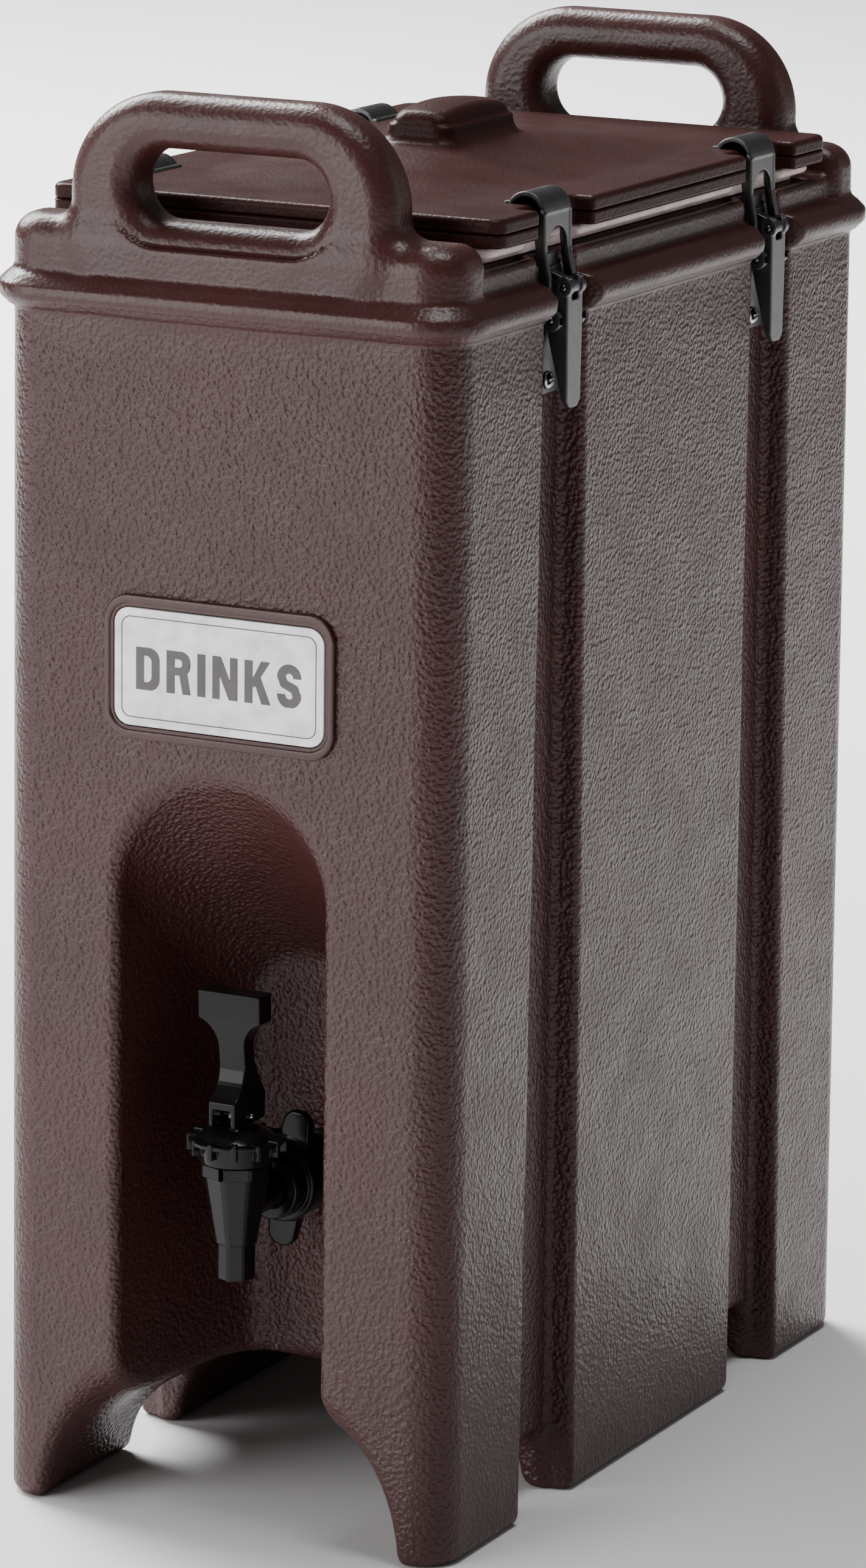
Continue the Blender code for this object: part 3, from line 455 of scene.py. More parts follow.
def shell_outside(x, y, z):
    sides = body_sides(x, y, z)
    ax, ay = np.abs(x), np.abs(y)
    form = both(both(sides, -z, 0.005), z - BEAD_Z - BEAD_HALF_HEIGHT, 0.002)
    rim = both(both(ax - RIM_HALF_X, ay - BLOCK_INNER_Y - 0.01), z - RIM_Z, 0.0025)
    ends = both(both(sides, z - BLOCK_TOP_Z, 0.011), BLOCK_INNER_Y - ay, 0.007)
    rim, ends = both(rim, UPPER_LOW_Z - z), both(ends, UPPER_LOW_Z - z)
    form = either(either(form, rim, 0.003), ends, 0.004)
    form = either(form, bead(sides, z), 0.0020)
    form = either(form, handles(x, y, z), 0.008)
    form = without(form, grips(x, y, z), 0.002)
    form = without(form, groove(x, y, z), 0.0022)
    form = without(form, recess(x, y, z), 0.005)
    form = without(form, tunnel(x, y, z), 0.006)
    gap = both(np.abs(ay - GAP_Y) - GAP_HALF_Y, z - GAP_Z, 0.010)
    return without(form, gap, 0.004)


def shell_hollow(x, y, z):
    """The insulated space, open at the rim, with the hole for the faucet's shank."""
    ax, ay = np.abs(x), np.abs(y)
    main = both(rectangle(x, y, 0.1035, 0.1990, 0.0155), between(z, 0.0760, 0.5360))
    mouth = both(rectangle(x, y, 0.0990, 0.1655, 0.010), 0.52 - z)
    space = either(main, mouth)
    space = without(space, groove(x, y, z) - SKIN)
    space = without(space, recess(x, y, z) - 1.4 * SKIN)
    for height in LATCH_SCREW_Z:
        boss = both(np.hypot(ay - LATCH_Y, z - height) - 0.0060, 0.0862 - ax)
        space = without(space, boss)
    hole = both(np.hypot(x, z - INLET_Z) - 0.0113, np.abs(y - WALL_Y) - 0.02)
    return either(space, hole)


def shell(x, y, z):
    return without(shell_outside(x, y, z), shell_hollow(x, y, z), 0.0012)


def add_body():
    low, high = span("outer_shell")
    mesh = surface(shell, low, high, 0.0022, 0.27)
    show("outer_shell_skin", mesh, shell_skin, "body", ["outer_shell"])


# Lid -------------------------------------------------------------------------------------------

LID_HALF_X, LID_HALF_Y, LID_CORNER = 0.1070, 0.1620, 0.0065
LID_BOTTOM_Z, LID_PARTING_Z, LID_EDGE_Z, LID_PLUG_Z = 0.5576, 0.5636, 0.5698, 0.5310
NOTCH_Y, NOTCH_HALF_Y, NOTCH_X = 0.1012, 0.0250, 0.0970
MOUND_HALF, MOUND_RISE = (0.080, 0.135), 0.0150
KNOB_HALF, KNOB_LEDGE_Z, KNOB_TOP_Z = (0.0172, 0.0338), 0.5878, 0.5958


def notches(x, y):
    """The four cut-outs that let the hooks reach over the lid."""
    depth = NOTCH_X - np.abs(x)
    return both(np.abs(np.abs(y) - NOTCH_Y) - NOTCH_HALF_Y, depth, 0.002)


def lid_outline(x, y, shrink=0.0):
    """The lid seen from above, made smaller all round by shrink."""
    sides = rectangle(x, y, LID_HALF_X, LID_HALF_Y, LID_CORNER)
    return without(sides, notches(x, y), 0.0015) + shrink


def lid_top(x, y, z):
    """Everything below the lid's upper face: a flat edge, a low mound and the knob's two steps."""
    ax, ay = np.abs(x), np.abs(y)
    out = ((ax / MOUND_HALF[0]) ** 3 + (ay / MOUND_HALF[1]) ** 3) ** (1 / 3)
    height = LID_EDGE_Z + MOUND_RISE * np.maximum(1 - out, 0.0) ** 1.35
    knob_lean = 0.10 * (z - 0.580)
    foot = rectangle(x, y, KNOB_HALF[0] - knob_lean, KNOB_HALF[1] - knob_lean, 0.008)
    foot = both(foot, z - KNOB_LEDGE_Z, 0.0018)
    cap = rectangle(x, y, KNOB_HALF[0] - 0.0022 - knob_lean, KNOB_HALF[1] - 0.0004 - knob_lean, 0.008)
    crown = KNOB_TOP_Z - 0.0026 * (x / KNOB_HALF[0]) ** 2 - 0.0034 * (y / KNOB_HALF[1]) ** 2
    cap = both(cap, z - crown, 0.0042)
    return either(z - height, either(foot, cap, 0.001), 0.004)


def lid_shell(x, y, z):
    form = both(lid_outline(x, y), lid_top(x, y, z), 0.0022)
    form = both(form, LID_PARTING_Z - z, 0.0006)
    inside = both(lid_outline(x, y, 0.0028), lid_top(x, y, z) + 0.0028)
    return without(form, inside)


def lid_pan(x, y, z):
    top = LID_PARTING_Z - 0.0003
    flange = both(lid_outline(x, y), between(z, LID_BOTTOM_Z, top), 0.0006)
    plug = both(rectangle(x, y, 0.0772, 0.1490, 0.013), between(z, LID_PLUG_Z, top), 0.006)
    room = both(rectangle(x, y, 0.0742, 0.1460, 0.010), LID_PLUG_Z + 0.003 - z, 0.005)
    return without(either(flange, plug, 0.002), room)


def gasket(x, y, z):
    """A strip with a rounded face, on a narrower foot that stays in its shadow."""
    hole = rectangle(x, y, 0.0840, 0.1530, 0.008)
    strip = without(rectangle(x, y, 0.1005, 0.1590, 0.006), notches(x * 1.0155, y), 0.0015)
    strip = both(without(strip, hole), between(z, 0.5526, 0.5573), 0.0021)
    foot = both(without(rectangle(x, y, 0.0945, 0.1555, 0.006), hole), between(z, 0.5495, 0.5540))
    return either(strip, foot, 0.0003)


def add_lid():
    low, high = span("lid_shell")
    fine = (0.0020, 0.0020, 0.0010)
    mesh = surface(lid_shell, low, high, (0.0014, 0.0014, 0.0009), 0.25)
    show("lid_shell_skin", mesh, lid_shaded_skin, "lid", ["lid_shell"])
    low, high = span("lid_pan")
    mesh = surface(lid_pan, low, high, fine, 0.35)
    show("lid_pan_skin", mesh, lid_shaded_skin, "lid", ["lid_pan"])
    low, high = span("lid_gasket")
    mesh = surface(gasket, low, high, fine, 0.5)
    show("lid_gasket_ring", mesh, pale_rubber, "lid", ["lid_gasket"])


# Label -----------------------------------------------------------------------------------------

LABEL_HALF, LABEL_CORNER = (0.0500, 0.0252), 0.0072
FRAME_HALF, FRAME_CORNER = (0.0548, 0.0308), 0.0120
LABEL_Z = (span("label_plate")[0][2] + span("label_plate")[1][2]) / 2
LABEL_FACE_Y = span("label_plate")[0][1]
FRAME_FACE_Y = LABEL_FACE_Y - 0.0006
FRAME_BACK_Y, PLATE_BACK_Y = -0.2025, -0.2030
LETTER_HEIGHT, STROKE, WORD_DROP = 0.0183, 0.0039, 0.0004


def label_frame(x, y, z):
    """The raised border moulded round the label, with a lower inner step."""
    outer = rectangle(x, z - LABEL_Z, *FRAME_HALF, FRAME_CORNER)
    inner = rectangle(x, z - LABEL_Z, LABEL_HALF[0] + 0.0004, LABEL_HALF[1] + 0.0004, LABEL_CORNER + 0.0004)
    low = both(outer, FRAME_FACE_Y + 0.0008 - y)
    high = both(without(outer, inner - 0.0014, 0.0006), FRAME_FACE_Y - y, 0.0009)
    ring = without(either(low, high), inner, 0.0002)
    return both(ring, y - FRAME_BACK_Y)


def label_plate(x, y, z):
    plate = rectangle(x, z - LABEL_Z, *LABEL_HALF, LABEL_CORNER)
    return both(plate, between(y, LABEL_FACE_Y, PLATE_BACK_Y), 0.00025)


def stroke(u, v, points, half_width):
    return np.minimum.reduce([segment(u, v, a, b) for a, b in zip(points, points[1:])]) - half_width


def arc(center, radius, start, end, steps=8):
    """Points on a circle, or on an ellipse if radius is a pair; the angles are in degrees."""
    radius_u, radius_v = radius if isinstance(radius, tuple) else (radius, radius)
    angles = [math.radians(start + (end - start) * i / steps) for i in range(steps + 1)]
    return [(center[0] + radius_u * math.cos(a), center[1] + radius_v * math.sin(a)) for a in angles]


def bar(u, v, low_u, high_u, low_v, high_v):
    return both(between(u, low_u, high_u), between(v, low_v, high_v))


def letter_d(u, v, w, h, t):
    bowl = rectangle(u, v, w, h, 0.0052)
    outer = either(bowl, bar(u, v, -w, 0.0, -h, h))
    counter = rectangle(u + 0.002, v, w - t + 0.002, h - 0.9 * t, 0.0026)
    return without(outer, both(counter, -w + t - u))


def letter_r(u, v, w, h, t):
    middle = h - 0.0103
    head = rectangle(u, v - (h + middle) / 2, w, (h - middle) / 2, 0.0044)
    outer = either(head, bar(u, v, -w, 0.0, middle, h))
    counter = rectangle(u + 0.002, v - (h + middle) / 2, w - t + 0.002, (h - middle) / 2 - 0.88 * t, 0.0016)
    form = without(outer, both(counter, -w + t - u))
    foot = [(w - t + 0.0002, -h), (w + 0.0003, -h)]
    leg = polygon(u, v, foot + [(w - 0.0014, middle + 0.001), (w - t - 0.0016, middle + 0.001)])
    return either(either(form, bar(u, v, -w, -w + t, -h, h)), leg)


def letter_i(u, v, w, h, t):
    return bar(u, v, -w, w, -h, h)


def letter_n(u, v, w, h, t):
    sides = either(bar(u, v, -w, -w + 0.92 * t, -h, h), bar(u, v, w - 0.92 * t, w, -h, h))
    slant = polygon(u, v, [(-w, h), (-w + 1.05 * t, h), (w, -h), (w - 1.05 * t, -h)])
    return either(sides, slant)


def letter_k(u, v, w, h, t):
    stem = -w + t
    arm = [(w - 1.12 * t, h), (w, h), (stem + 0.0006, -0.0025), (stem, -0.0010), (stem, 0.0016)]
    leg = [(w - 1.05 * t, -h), (w + 0.0003, -h), (stem + 0.0034, 0.0032), (stem + 0.0008, 0.0000)]
    return either(bar(u, v, -w, stem, -h, h), either(polygon(u, v, arm), polygon(u, v, leg)))


def letter_s(u, v, w, h, t):
    """An upright spine of two bowls, with flat ends."""
    bend = w - t / 2
    top = [(bend, 0.0040)] + arc((0.0, h - t / 2 - 0.0034), (bend, 0.0036), 0, 180, 14)
    spine = [(-bend, 0.0046), (-0.0026, 0.0011), (0.0026, -0.0011), (bend, -0.0046)]
    bottom = arc((0.0, -h + t / 2 + 0.0034), (bend, 0.0036), 0, -180, 14) + [(-bend, -0.0040)]
    form = stroke(u, v, top + spine + bottom, t / 2)
    right_end = bar(u, v, w - t - 0.0004, w + 0.001, -0.0012, 0.0034)
    left_end = bar(u, v, -w - 0.001, -w + t + 0.0004, -0.0034, 0.0012)
    return without(form, both(either(right_end, left_end), -stroke(u, v, spine, t / 2)))


LETTERS = (
    (letter_d, 0.0057),
    (letter_r, 0.0057),
    (letter_i, STROKE / 2),
    (letter_n, 0.0060),
    (letter_k, 0.0061),
    (letter_s, 0.0057),
)
LETTER_GAP = 0.0033


def letters(x, y, z):
    """A plain word in block capitals, printed a little proud of the label."""
    width = sum(2 * half for _, half in LETTERS) + LETTER_GAP * (len(LETTERS) - 1)
    left, word = -width / 2, np.inf
    for letter, half in LETTERS:
        ink = letter(x - left - half, z - LABEL_Z + WORD_DROP, half, LETTER_HEIGHT / 2, STROKE)
        word = np.minimum(word, ink)
        left += 2 * half + LETTER_GAP
    return both(word, between(y, LABEL_FACE_Y - 0.00015, LABEL_FACE_Y + 0.0003))


def border_line():
    """The thin printed line inside the label's edge."""
    loops = []
    for inset, y in ((0.0035, 0.0002), (0.0035, -0.00012), (0.0039, -0.00012), (0.0039, 0.0002)):
        corner = LABEL_CORNER - 0.8 * inset
        u, v = LABEL_HALF[0] - inset - corner, LABEL_HALF[1] - inset - corner
        loop = []
        for center, start in (((u, v), 0), ((-u, v), 90), ((-u, -v), 180), ((u, -v), 270)):
            loop += arc(center, corner, start, start + 90)
        loops.append([(px, LABEL_FACE_Y + y, LABEL_Z + pz) for px, pz in loop])
    count = len(loops[0])
    faces = []
    for i in range(4):
        for j in range(count):
            ahead = (j + 1) % count
            corners = (i * count + j, i * count + ahead)
            other = ((i + 1) % 4) * count
            faces.append((corners[0], corners[1], other + ahead, other + j))
    mesh = bpy.data.meshes.new("border")
    mesh.from_pydata([p for loop in loops for p in loop], [], faces)
    mesh.validate()
    return mesh


def add_label():
    low = (-FRAME_HALF[0], FRAME_FACE_Y, LABEL_Z - FRAME_HALF[1])
    high = (FRAME_HALF[0], FRAME_BACK_Y, LABEL_Z + FRAME_HALF[1])
    mesh = surface(label_frame, low, high, (0.0008, 0.0003, 0.0008), 0.3)
    show("label_frame", mesh, smooth_skin, "body")
    low, high = span("label_plate")
    mesh = surface(label_plate, low, high, (0.0009, 0.0003, 0.0009), 0.3)
    show("label_card", mesh, label_white, "body", ["label_plate"])
    half = np.array([0.0410, 0.0, LETTER_HEIGHT / 2])
    middle = np.array([0.0, LABEL_FACE_Y, LABEL_Z])
    mesh = surface(letters, middle - half, middle + half, (0.00025, 0.00015, 0.00025), 0.3)
    show("label_word", mesh, label_ink, "body")
    show("label_border", border_line(), label_ink, "body")


# Latches ---------------------------------------------------------------------------------------

LEVER_PIVOT, HOOK_PIVOT = (0.1095, 0.5353), (0.1063, 0.5220)
HOOK_HALF_Y, HOOK_SLOT_HALF_Y, HOOK_SLOT_TOP_Z = 0.0125, 0.0092, 0.5600
LEVER_HALF_Y, LEVER_FACE_X = 0.0073, LEVER_PIVOT[0] + 0.0022
BASE_BACK_X, BASE_FRONT_X = 0.0973, 0.0993


def hook(x, y, z):
    """A bent strip with a long slot, whose arms have turned-in sides and eyes for the pin."""
    ay = np.abs(y)
    path = [(0.1046, 0.5230), (0.1046, 0.5385), (0.1030, 0.5450), (0.1021, 0.5500), (0.1019, 0.5655)]
    path += arc((0.0940, 0.5660), 0.0081, 4, 152, 16) + [(0.0850, 0.5698)]
    strip = both(stroke(x, z, path, 0.0011), ay - HOOK_HALF_Y, 0.0006)
    slot = both(ay - HOOK_SLOT_HALF_Y, z - HOOK_SLOT_TOP_Z, HOOK_SLOT_HALF_Y - 0.0002)
    strip = without(strip, slot, 0.0005)
    side = [(0.1056, 0.5215), (0.1056, 0.5385), (0.1040, 0.5455), (0.1031, 0.5505), (0.1029, 0.5660)]
    side += [(0.1010, 0.5672), (0.0990, 0.5640), (0.0986, 0.5550), (0.0996, 0.5470), (0.1012, 0.5400)]
    side += [(0.1000, 0.5330), (0.1018, 0.5230)]
    flange = both(polygon(x, z, side) - 0.0003, between(ay, 0.0107, HOOK_HALF_Y), 0.0005)
    eye = np.hypot(x - HOOK_PIVOT[0], z - HOOK_PIVOT[1]) - 0.0047
    eye = both(eye, between(ay, HOOK_SLOT_HALF_Y + 0.0001, HOOK_HALF_Y), 0.0006)
    form = either(either(strip, flange, 0.0010), eye, 0.0012)
    return without(form, np.hypot(x - HOOK_PIVOT[0], z - HOOK_PIVOT[1]) - 0.0018)


def lever(x, y, z):
    """A channel with two tapering cheeks, a round lower end and loops for the pin."""
    ay = np.abs(y)
    pivot_x, pivot_z = LEVER_PIVOT
    side = [(LEVER_FACE_X - 0.0022, 0.4838), (LEVER_FACE_X, 0.4845), (LEVER_FACE_X, pivot_z + 0.0036)]
    side += arc((pivot_x, pivot_z), 0.0048, 62, 130, 5)
    side += [(pivot_x - 0.0062, pivot_z + 0.0016), (pivot_x - 0.0074, 0.5290), (pivot_x - 0.0076, 0.5165)]
    side += [(pivot_x - 0.0056, 0.5075), (pivot_x - 0.0012, 0.4900)]
    half = LEVER_HALF_Y - 0.0009 * np.clip((pivot_z - z) / 0.05, 0.0, 1.0)
    outline = both(ay - half, 0.4838 - z, 0.0055)
    body = both(polygon(x, z, side), outline, 0.0007)
    channel = both(both(ay - 0.0052, x - LEVER_FACE_X + 0.0020), 0.4872 - z, 0.0006)
    body = without(body, channel, 0.0003)
    fork = both(ay - 0.0031, pivot_z - 0.0052 - z, 0.0008)
    body = without(body, fork, 0.0005)
    loop = np.hypot(x - pivot_x, z - pivot_z) - 0.0038
    loop = both(loop, between(ay, 0.0036, LEVER_HALF_Y), 0.0005)
    body = either(body, loop, 0.0004)
    for x_bore, z_bore in (LEVER_PIVOT, HOOK_PIVOT):
        body = without(body, np.hypot(x - x_bore, z - z_bore) - 0.0018)
    return body


def latch_base(x, y, z):
    """The screwed plate, with the tongue that carries the lever's pin."""
    pivot_x, pivot_z = LEVER_PIVOT
    plate = rectangle(y, z - 0.5170, 0.0130, 0.0280, 0.0035)
    plate = either(plate, rectangle(y, z - 0.5420, 0.0085, 0.0068, 0.0020))
    plate = both(plate, between(x, BASE_BACK_X, BASE_FRONT_X), 0.0005)
    nose = [(BASE_BACK_X + 0.001, pivot_z - 0.0080), (pivot_x, pivot_z - 0.0030)]
    nose += arc((pivot_x, pivot_z), 0.0030, -60, 90, 6) + [(BASE_BACK_X + 0.001, pivot_z + 0.0070)]
    tongue = both(polygon(x, z, nose), np.abs(y) - 0.0029, 0.0005)
    form = either(plate, tongue, 0.0012)
    rib = rectangle(y, z - 0.5400, 0.0100, 0.0030, 0.0015)
    rib = both(rib, between(x, BASE_BACK_X, BASE_FRONT_X + 0.0009), 0.0006)
    form = either(form, rib, 0.0006)
    return without(form, np.hypot(x - pivot_x, z - pivot_z) - 0.0018)


def screw(x, y, z):
    """A round-head screw along +X with its seat at x = 0 and a cross recess."""
    out = np.hypot(y, z)
    ball = 0.0048
    head = both(np.hypot(x - 0.0024 + ball, out) - ball, -x, 0.0003)
    head = both(head, out - 0.0040, 0.0003)
    ay, az = np.abs(y), np.abs(z)
    cross = either(both(ay - 0.0005, az - 0.0021), both(az - 0.0005, ay - 0.0021))
    head = without(head, both(cross, 0.0010 - x), 0.0002)
    return either(head, both(out - 0.0018, between(x, -0.0120, 0.0)))


def pin(half_length, radius):
    """A field for a pin along Y with domed ends."""

    def form(x, y, z):
        return both(np.hypot(x, z) - radius, np.abs(y) - half_length, 0.8 * radius)

    return form


def pin_mesh(half_length, radius, step):
    reach = radius + 0.0001
    corner = np.array([reach, half_length + 0.0001, reach])
    return surface(pin(half_length, radius), -corner, corner, step, 0.5)


def add_latches():
    lever_at, hook_at = (LEVER_PIVOT[0], 0.0, LEVER_PIVOT[1]), (HOOK_PIVOT[0], 0.0, HOOK_PIVOT[1])
    fine = 0.0005
    meshes = {
        "hook": surface(hook, (0.083, -0.0127, 0.5165), (0.110, 0.0127, 0.5757), fine, 0.5),
        "lever": surface(lever, (0.1010, -0.0076, 0.4835), (0.1136, 0.0076, 0.5405), fine, 0.5),
        "base": surface(latch_base, (0.0972, -0.0131, 0.4889), (0.1126, 0.0131, 0.5489), fine, 0.4),
        "screw": surface(screw, (-0.012, -0.0041, -0.0041), (0.0025, 0.0041, 0.0041), 0.00035, 0.5),
        "lever_pin": pin_mesh(0.0079, 0.0016, 0.0004),
        "hook_pin": pin_mesh(0.0131, 0.0016, 0.0004),
    }
    low_screw_at, high_screw_at = ((BASE_FRONT_X + 0.0003, 0.0, height) for height in LATCH_SCREW_Z)
    for side, turn in (("right", Matrix()), ("left", LEFT_TURN)):
        for end, side_y in (("front", -1), ("rear", 1)):
            key = f"{end}_{side}"
            place = Matrix.Translation((0.0, side_y * LATCH_Y, 0.0)) @ turn
            rows = [
                ("hook", latch_black, f"hook_{key}", "latch_plastic", f"latch_hook_{key}", None),
                ("lever", latch_black, f"lever_{key}", "latch_plastic", f"latch_lever_{key}", None),
                ("base", latch_black, "body", "latch_plastic", f"latch_base_{key}", None),
                ("lever_pin", dark_steel, "body", "steel", f"lever_pin_{key}", lever_at),
                ("hook_pin", dark_steel, f"lever_{key}", "steel", f"hook_pin_{key}", hook_at),
                ("screw", bright_steel, "body", "steel", f"latch_screw_low_{key}", low_screw_at),
                ("screw", bright_steel, "body", "steel", f"latch_screw_high_{key}", high_screw_at),
            ]
            for shape, material, body, slot, node, at in rows:
                spot = place @ Matrix.Translation(at) if at else place
                show(f"{node}_detail", meshes[shape], material, body, [node], spot)


# Faucet ----------------------------------------------------------------------------------------

FAUCET_Y, OUTLET_Z, COLLAR_Z, PADDLE_PIVOT_Z = -0.1870, 0.1100, 0.1621, 0.1823
CONE_Z, BAND_Z, SKIRT_Z, SPRING_SEAT_Z = 0.1266, 0.1564, 0.1572, 0.1629
PADDLE_TOP_Z, FOOT_Z, FOOT_HALF_Y = 0.2370, 0.1788, 0.0137
FACETS, WING_LEAN_DEGREES = 8, 8


def faceted(x, y, radius, soft=1.045):
    """A prism or cone of flat facets with slightly rounded edges."""
    angle = np.arctan2(y, x) + math.radians(62.5)
    share = 2 * math.pi / FACETS
    off = np.mod(angle + share / 2, share) - share / 2
    out = np.hypot(x, y)
    return np.maximum(out * np.cos(off) - radius, out - soft * radius)


def faucet_body(x, y, z):
    """Collar, faceted cone and spout about a vertical bore, with the tail that meets the shank."""
    back = y - FAUCET_Y
    widening = np.clip((z - CONE_Z) / (BAND_Z - CONE_Z), 0.0, 1.0)
    cone = faceted(x, back, 0.0089 + 0.0048 * widening)
    cone = both(cone, between(z, CONE_Z - 0.0004, BAND_Z + 0.0010), 0.0004)
    spout = both(faceted(x, back, 0.0081), between(z, OUTLET_Z, CONE_Z + 0.0010), 0.0010)
    band = both(faceted(x, back, 0.0150, 1.06), between(z, BAND_Z, COLLAR_Z), 0.0006)
    form = either(either(cone, spout, 0.0003), band, 0.0003)
    round_tail = np.hypot(x, z - INLET_Z)
    tail = both(round_tail - 0.0082, between(back, 0.0, 0.0336), 0.0005)
    lip = both(round_tail - 0.0106, between(back, 0.0318, 0.0336), 0.0004)
    form = either(form, either(tail, lip, 0.0004), 0.0015)
    out = np.hypot(x, back)
    bore = either(out - 0.0058, both(out - 0.0094, 0.1400 - z), 0.001)
    return without(form, bore, 0.0004)


def bonnet(x, y, z):
    """The domed cap, its thin flange with twelve lugs, and the ring below it."""
    back = y - FAUCET_Y
    out = np.hypot(x, back)
    dome = both(z - 0.1780 + 0.0052 * (out / 0.0170) ** 3, out - 0.0170, 0.0008)
    flange = both(out - 0.0207, between(z, 0.1708, 0.1728), 0.0006)
    ring = out - 0.0163 - 0.0014 * np.clip((z - COLLAR_Z) / 0.0080, 0.0, 1.0)
    ring = both(ring, between(z, COLLAR_Z + 0.0003, 0.1715), 0.0006)
    form = either(ring, both(dome, 0.1690 - z), 0.0004)
    form = either(form, flange, 0.0006)
    share = math.pi / 6
    off = np.mod(np.arctan2(back, x) + math.radians(4.0) + share / 2, share) - share / 2
    lug = both(np.abs(off) * out - 0.0011, between(out, 0.0165, 0.0214), 0.0004)
    lug = both(lug, between(z, 0.1665, 0.1738), 0.0005)
    form = either(form, lug, 0.0004)
    form = either(form, both(out - 0.0090, between(z, SKIRT_Z, 0.1680)))
    form = without(form, both(out - 0.0072, z - SPRING_SEAT_Z))
    return without(form, out - 0.0027, 0.0003)


def paddle(x, y, z):
    """The handle: a thick wide pad, a scooped neck and a long forked foot."""
    back = y - FAUCET_Y
    ax = np.abs(x)
    front = [(0.0030, PADDLE_TOP_Z), (-0.0081, PADDLE_TOP_Z), (-0.0077, 0.2250), (-0.0053, 0.2120)]
    front += arc((-0.0207, 0.2050), 0.0163, 0, -64.5, 10) + [(-FOOT_HALF_Y, FOOT_Z)]
    rear = [(FOOT_HALF_Y, FOOT_Z), (FOOT_HALF_Y, 0.1905), (0.0092, 0.1972)]
    rear += [(0.0052, 0.2040), (0.0033, 0.2110)]
    rise = np.clip(z - 0.2128, 0.0, 0.0122)
    wide = ax - 0.0194 + np.sqrt(0.0130**2 - rise**2)
    form = both(polygon(back, z, front + rear), wide, 0.0009)
    heel = np.abs(back) + 0.8 * (FOOT_Z - z) - FOOT_HALF_Y + 0.0010
    form = both(form, heel / math.hypot(1.0, 0.8), 0.0008)
    slot = both(ax - 0.0044, z - 0.1872, 0.0008)
    form = without(form, slot, 0.0004)
    return without(form, np.hypot(back, z - PADDLE_PIVOT_Z) - 0.0015)


def stem(x, y, z):
    back = y - FAUCET_Y
    rise = both(np.hypot(x, back) - 0.0022, between(z, 0.1340, PADDLE_PIVOT_Z - 0.0005), 0.0003)
    eye = both(np.hypot(back, z - PADDLE_PIVOT_Z) - 0.0034, np.abs(x) - 0.0027, 0.0005)
    return without(either(rise, eye, 0.0008), np.hypot(back, z - PADDLE_PIVOT_Z) - 0.0015)


def wing_nut(x, y, z):
    """A round nut with a rolled edge, a lower collar in front and two tapering wings."""
    back, up = y - WALL_Y, z - INLET_Z
    out = np.hypot(x, up)
    ring = both(out - 0.0172, between(back, -0.0335, -0.0190), 0.0016)
    collar = both(out - 0.0138, between(back, -0.0425, -0.0300), 0.0014)
    form = either(ring, collar, 0.0010)
    lean = math.radians(WING_LEAN_DEGREES)
    across = x * math.cos(lean) - up * math.sin(lean)
    length = np.abs(up * math.cos(lean) + x * math.sin(lean))
    along = np.clip((length - 0.0130) / 0.0170, 0.0, 1.0)
    wing = both(np.abs(across) - 0.0082 + 0.0020 * along, length - 0.0310, 0.0052)
    wing = both(wing, np.abs(back + 0.02275) - 0.0036 + 0.0012 * along, 0.0014)
    form = either(form, both(wing, 0.0110 - length), 0.0022)
    return without(form, either(out - 0.0088, both(out - 0.0114, -0.0395 - back)), 0.0004)


def shank(x, y, z):
    """The threaded tube through the wall, with the flange that bears on the recess."""
    back, up = y - WALL_Y, z - INLET_Z
    out = np.hypot(x, up)
    turn = back / 0.0024 + np.arctan2(up, x) / (2 * math.pi)
    ridge = np.abs(np.mod(turn, 1.0) - 0.5) * 2
    tube = both(out - 0.0101 - 0.0009 * ridge, between(back, -0.0370, 0.0435), 0.0004)
    flange = both(out - 0.0155, between(back, -0.0062, -0.0026), 0.0009)
    return without(either(tube, flange, 0.0006), out - 0.0070, 0.0004)


def add_faucet():
    fine = 0.0005
    rows = (
        ("faucet_body", faucet_body, faucet_black, "body", "faucet_plastic", fine, 0.4),
        ("faucet_bonnet", bonnet, faucet_black, "body", "faucet_plastic", fine, 0.5),
        ("faucet_paddle", paddle, faucet_black, "paddle", "faucet_plastic", fine, 0.4),
        ("faucet_stem", stem, bright_steel, "stem", "steel", fine, 0.4),
        ("wing_nut", wing_nut, faucet_black, "wing_nut", "faucet_plastic", 0.0006, 0.4),
        ("faucet_shank", shank, faucet_black, "body", "faucet_plastic", fine, 0.4),
    )
    for node, field, material, body, slot, step, keep in rows:
        low, high = span(node)
        mesh = surface(field, low, high, step, keep)
        show(f"{node}_detail", mesh, material, body, [node])
    at = Matrix.Translation((0.0, FAUCET_Y, PADDLE_PIVOT_Z)) @ Matrix.Rotation(math.pi / 2, 4, "Z")
    mesh = pin_mesh(0.0082, 0.0014, 0.0003)
    show("faucet_pivot_pin_detail", mesh, bright_steel, "stem", ["faucet_pivot_pin"], at)


# Nodes that keep their CAD shape ---------------------------------------------------------------


def dress_nodes():
    """Gives each CAD node that still shows its material."""
    looks = {
        "inner_tank": tank_skin,
        "foam_insulation": foam_skin,
        "lid_foam": foam_skin,
        "faucet_seat_cup": pale_rubber,
        "shank_gasket": dark_rubber,
        "shank_washer": pale_rubber,
        "faucet_spring": bright_steel,
        "shank_nut": faucet_black,
    }
    for name, material in looks.items():
        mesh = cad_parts[name].data
        mesh.materials.clear()
        mesh.materials.append(material)


add_body()
add_lid()
add_label()
add_latches()
add_faucet()
dress_nodes()


# Camera, light and floor -----------------------------------------------------------------------


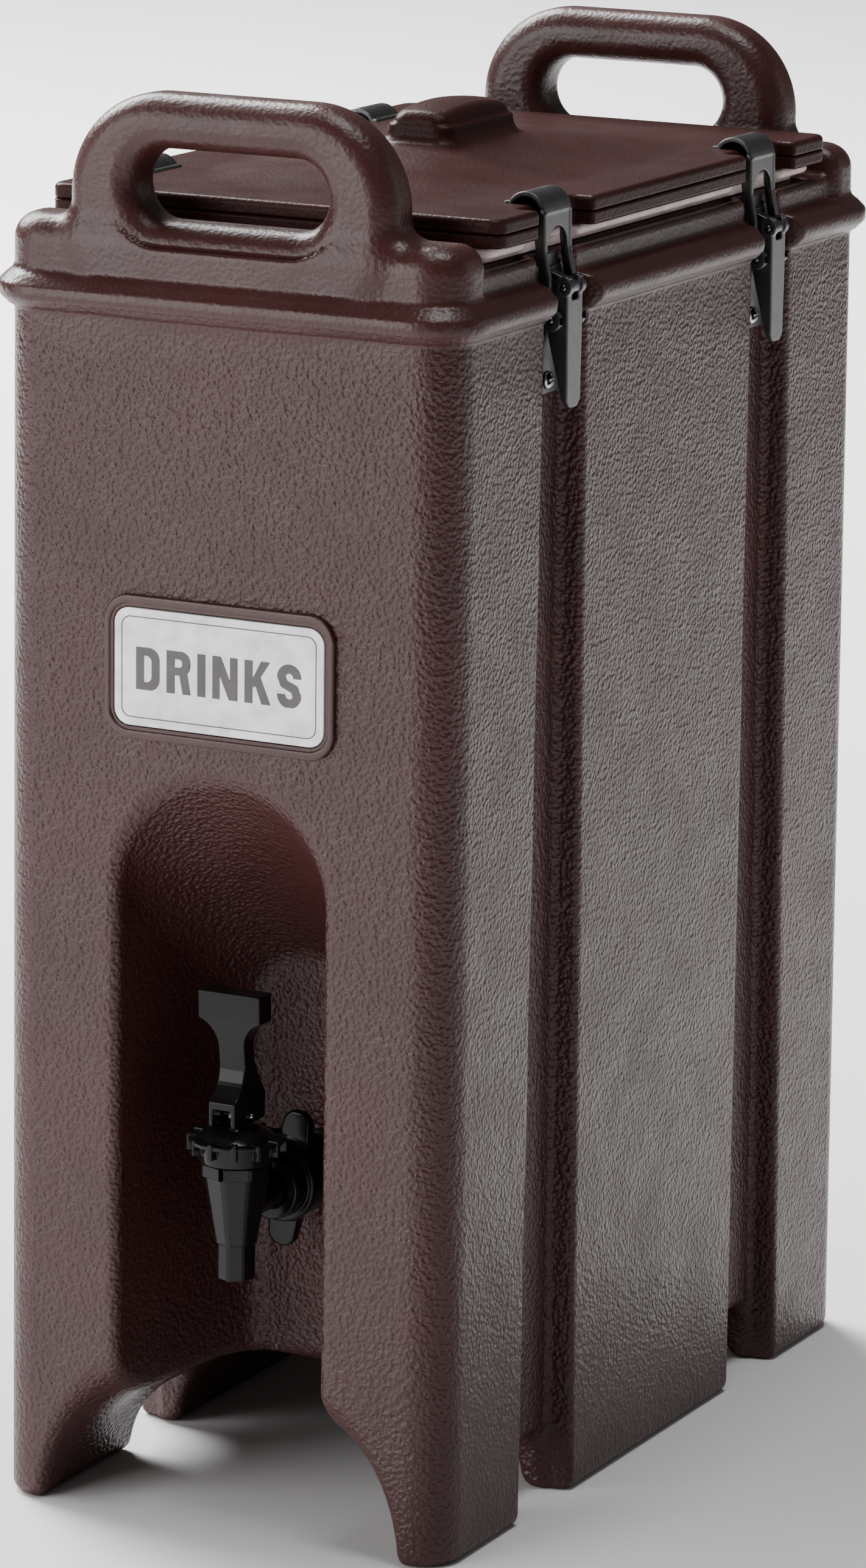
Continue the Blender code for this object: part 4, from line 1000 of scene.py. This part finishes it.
def add_camera():
    """A long lens above and to the right of the faucet's side."""
    data = bpy.data.cameras.new("camera")
    data.sensor_fit = "AUTO"
    data.sensor_width = 36.0
    data.lens = 151.57
    data.clip_start, data.clip_end = 0.1, 50.0
    camera = bpy.data.objects.new("camera", data)
    bpy.context.scene.collection.objects.link(camera)
    right, up = Vector((0.8863, 0.4631, 0.0116)), Vector((-0.1146, 0.1949, 0.9742))
    back = right.cross(up).normalized()
    up = back.cross(right).normalized()
    turn = Matrix((right.normalized(), up, back)).transposed().to_4x4()
    camera.matrix_world = Matrix.Translation((1.3173, -2.5476, 0.9537)) @ turn
    bpy.context.scene.camera = camera


def add_light(name, place, target, size, power):
    data = bpy.data.lights.new(name, "AREA")
    data.shape = "RECTANGLE"
    data.size, data.size_y = size
    data.energy = power
    light = bpy.data.objects.new(name, data)
    bpy.context.scene.collection.objects.link(light)
    light.location = place
    light.rotation_euler = (Vector(target) - Vector(place)).to_track_quat("-Z", "Y").to_euler()


def add_stage():
    look = Look("floor_paper")
    tint = look.ramp(look.noise(0.4, 2.0), [(0.3, gray(0.90)), (0.7, gray(0.93))])
    gloss = look.ramp(look.noise(0.05, 2.0), [(0.3, gray(0.85)), (0.7, gray(0.95))])
    mesh = bpy.data.meshes.new("floor")
    half = 12.0
    corners = [(-half, -half, 0.0), (half, -half, 0.0), (half, half, 0.0), (-half, half, 0.0)]
    mesh.from_pydata(corners, [], [(0, 1, 2, 3)])
    mesh.materials.append(look.finish(tint, gloss))
    floor = bpy.data.objects.new("floor", mesh)
    bpy.context.scene.collection.objects.link(floor)
    world = bpy.data.worlds.new("studio")
    bpy.context.scene.world = world
    world.use_nodes = True
    world.node_tree.nodes["Background"].inputs["Color"].default_value = (1.0, 1.0, 1.0, 1.0)
    world.node_tree.nodes["Background"].inputs["Strength"].default_value = 0.10
    add_light("front_left_panel", (-1.6, -2.6, 1.0), (0, 0, 0.3), (2.4, 1.9), 70)
    add_light("right_rear_panel", (2.4, 1.9, 1.0), (0, 0, 0.3), (1.8, 1.9), 6)
    add_light("floor_panel", (-3.6, 1.9, 3.4), (-1.6, 3.0, 0), (3.0, 3.5), 900)
    add_light("top_panel", (0.5, -0.2, 4.0), (0.5, -0.15, 0), (1.5, 1.5), 70)


add_camera()
add_stage()
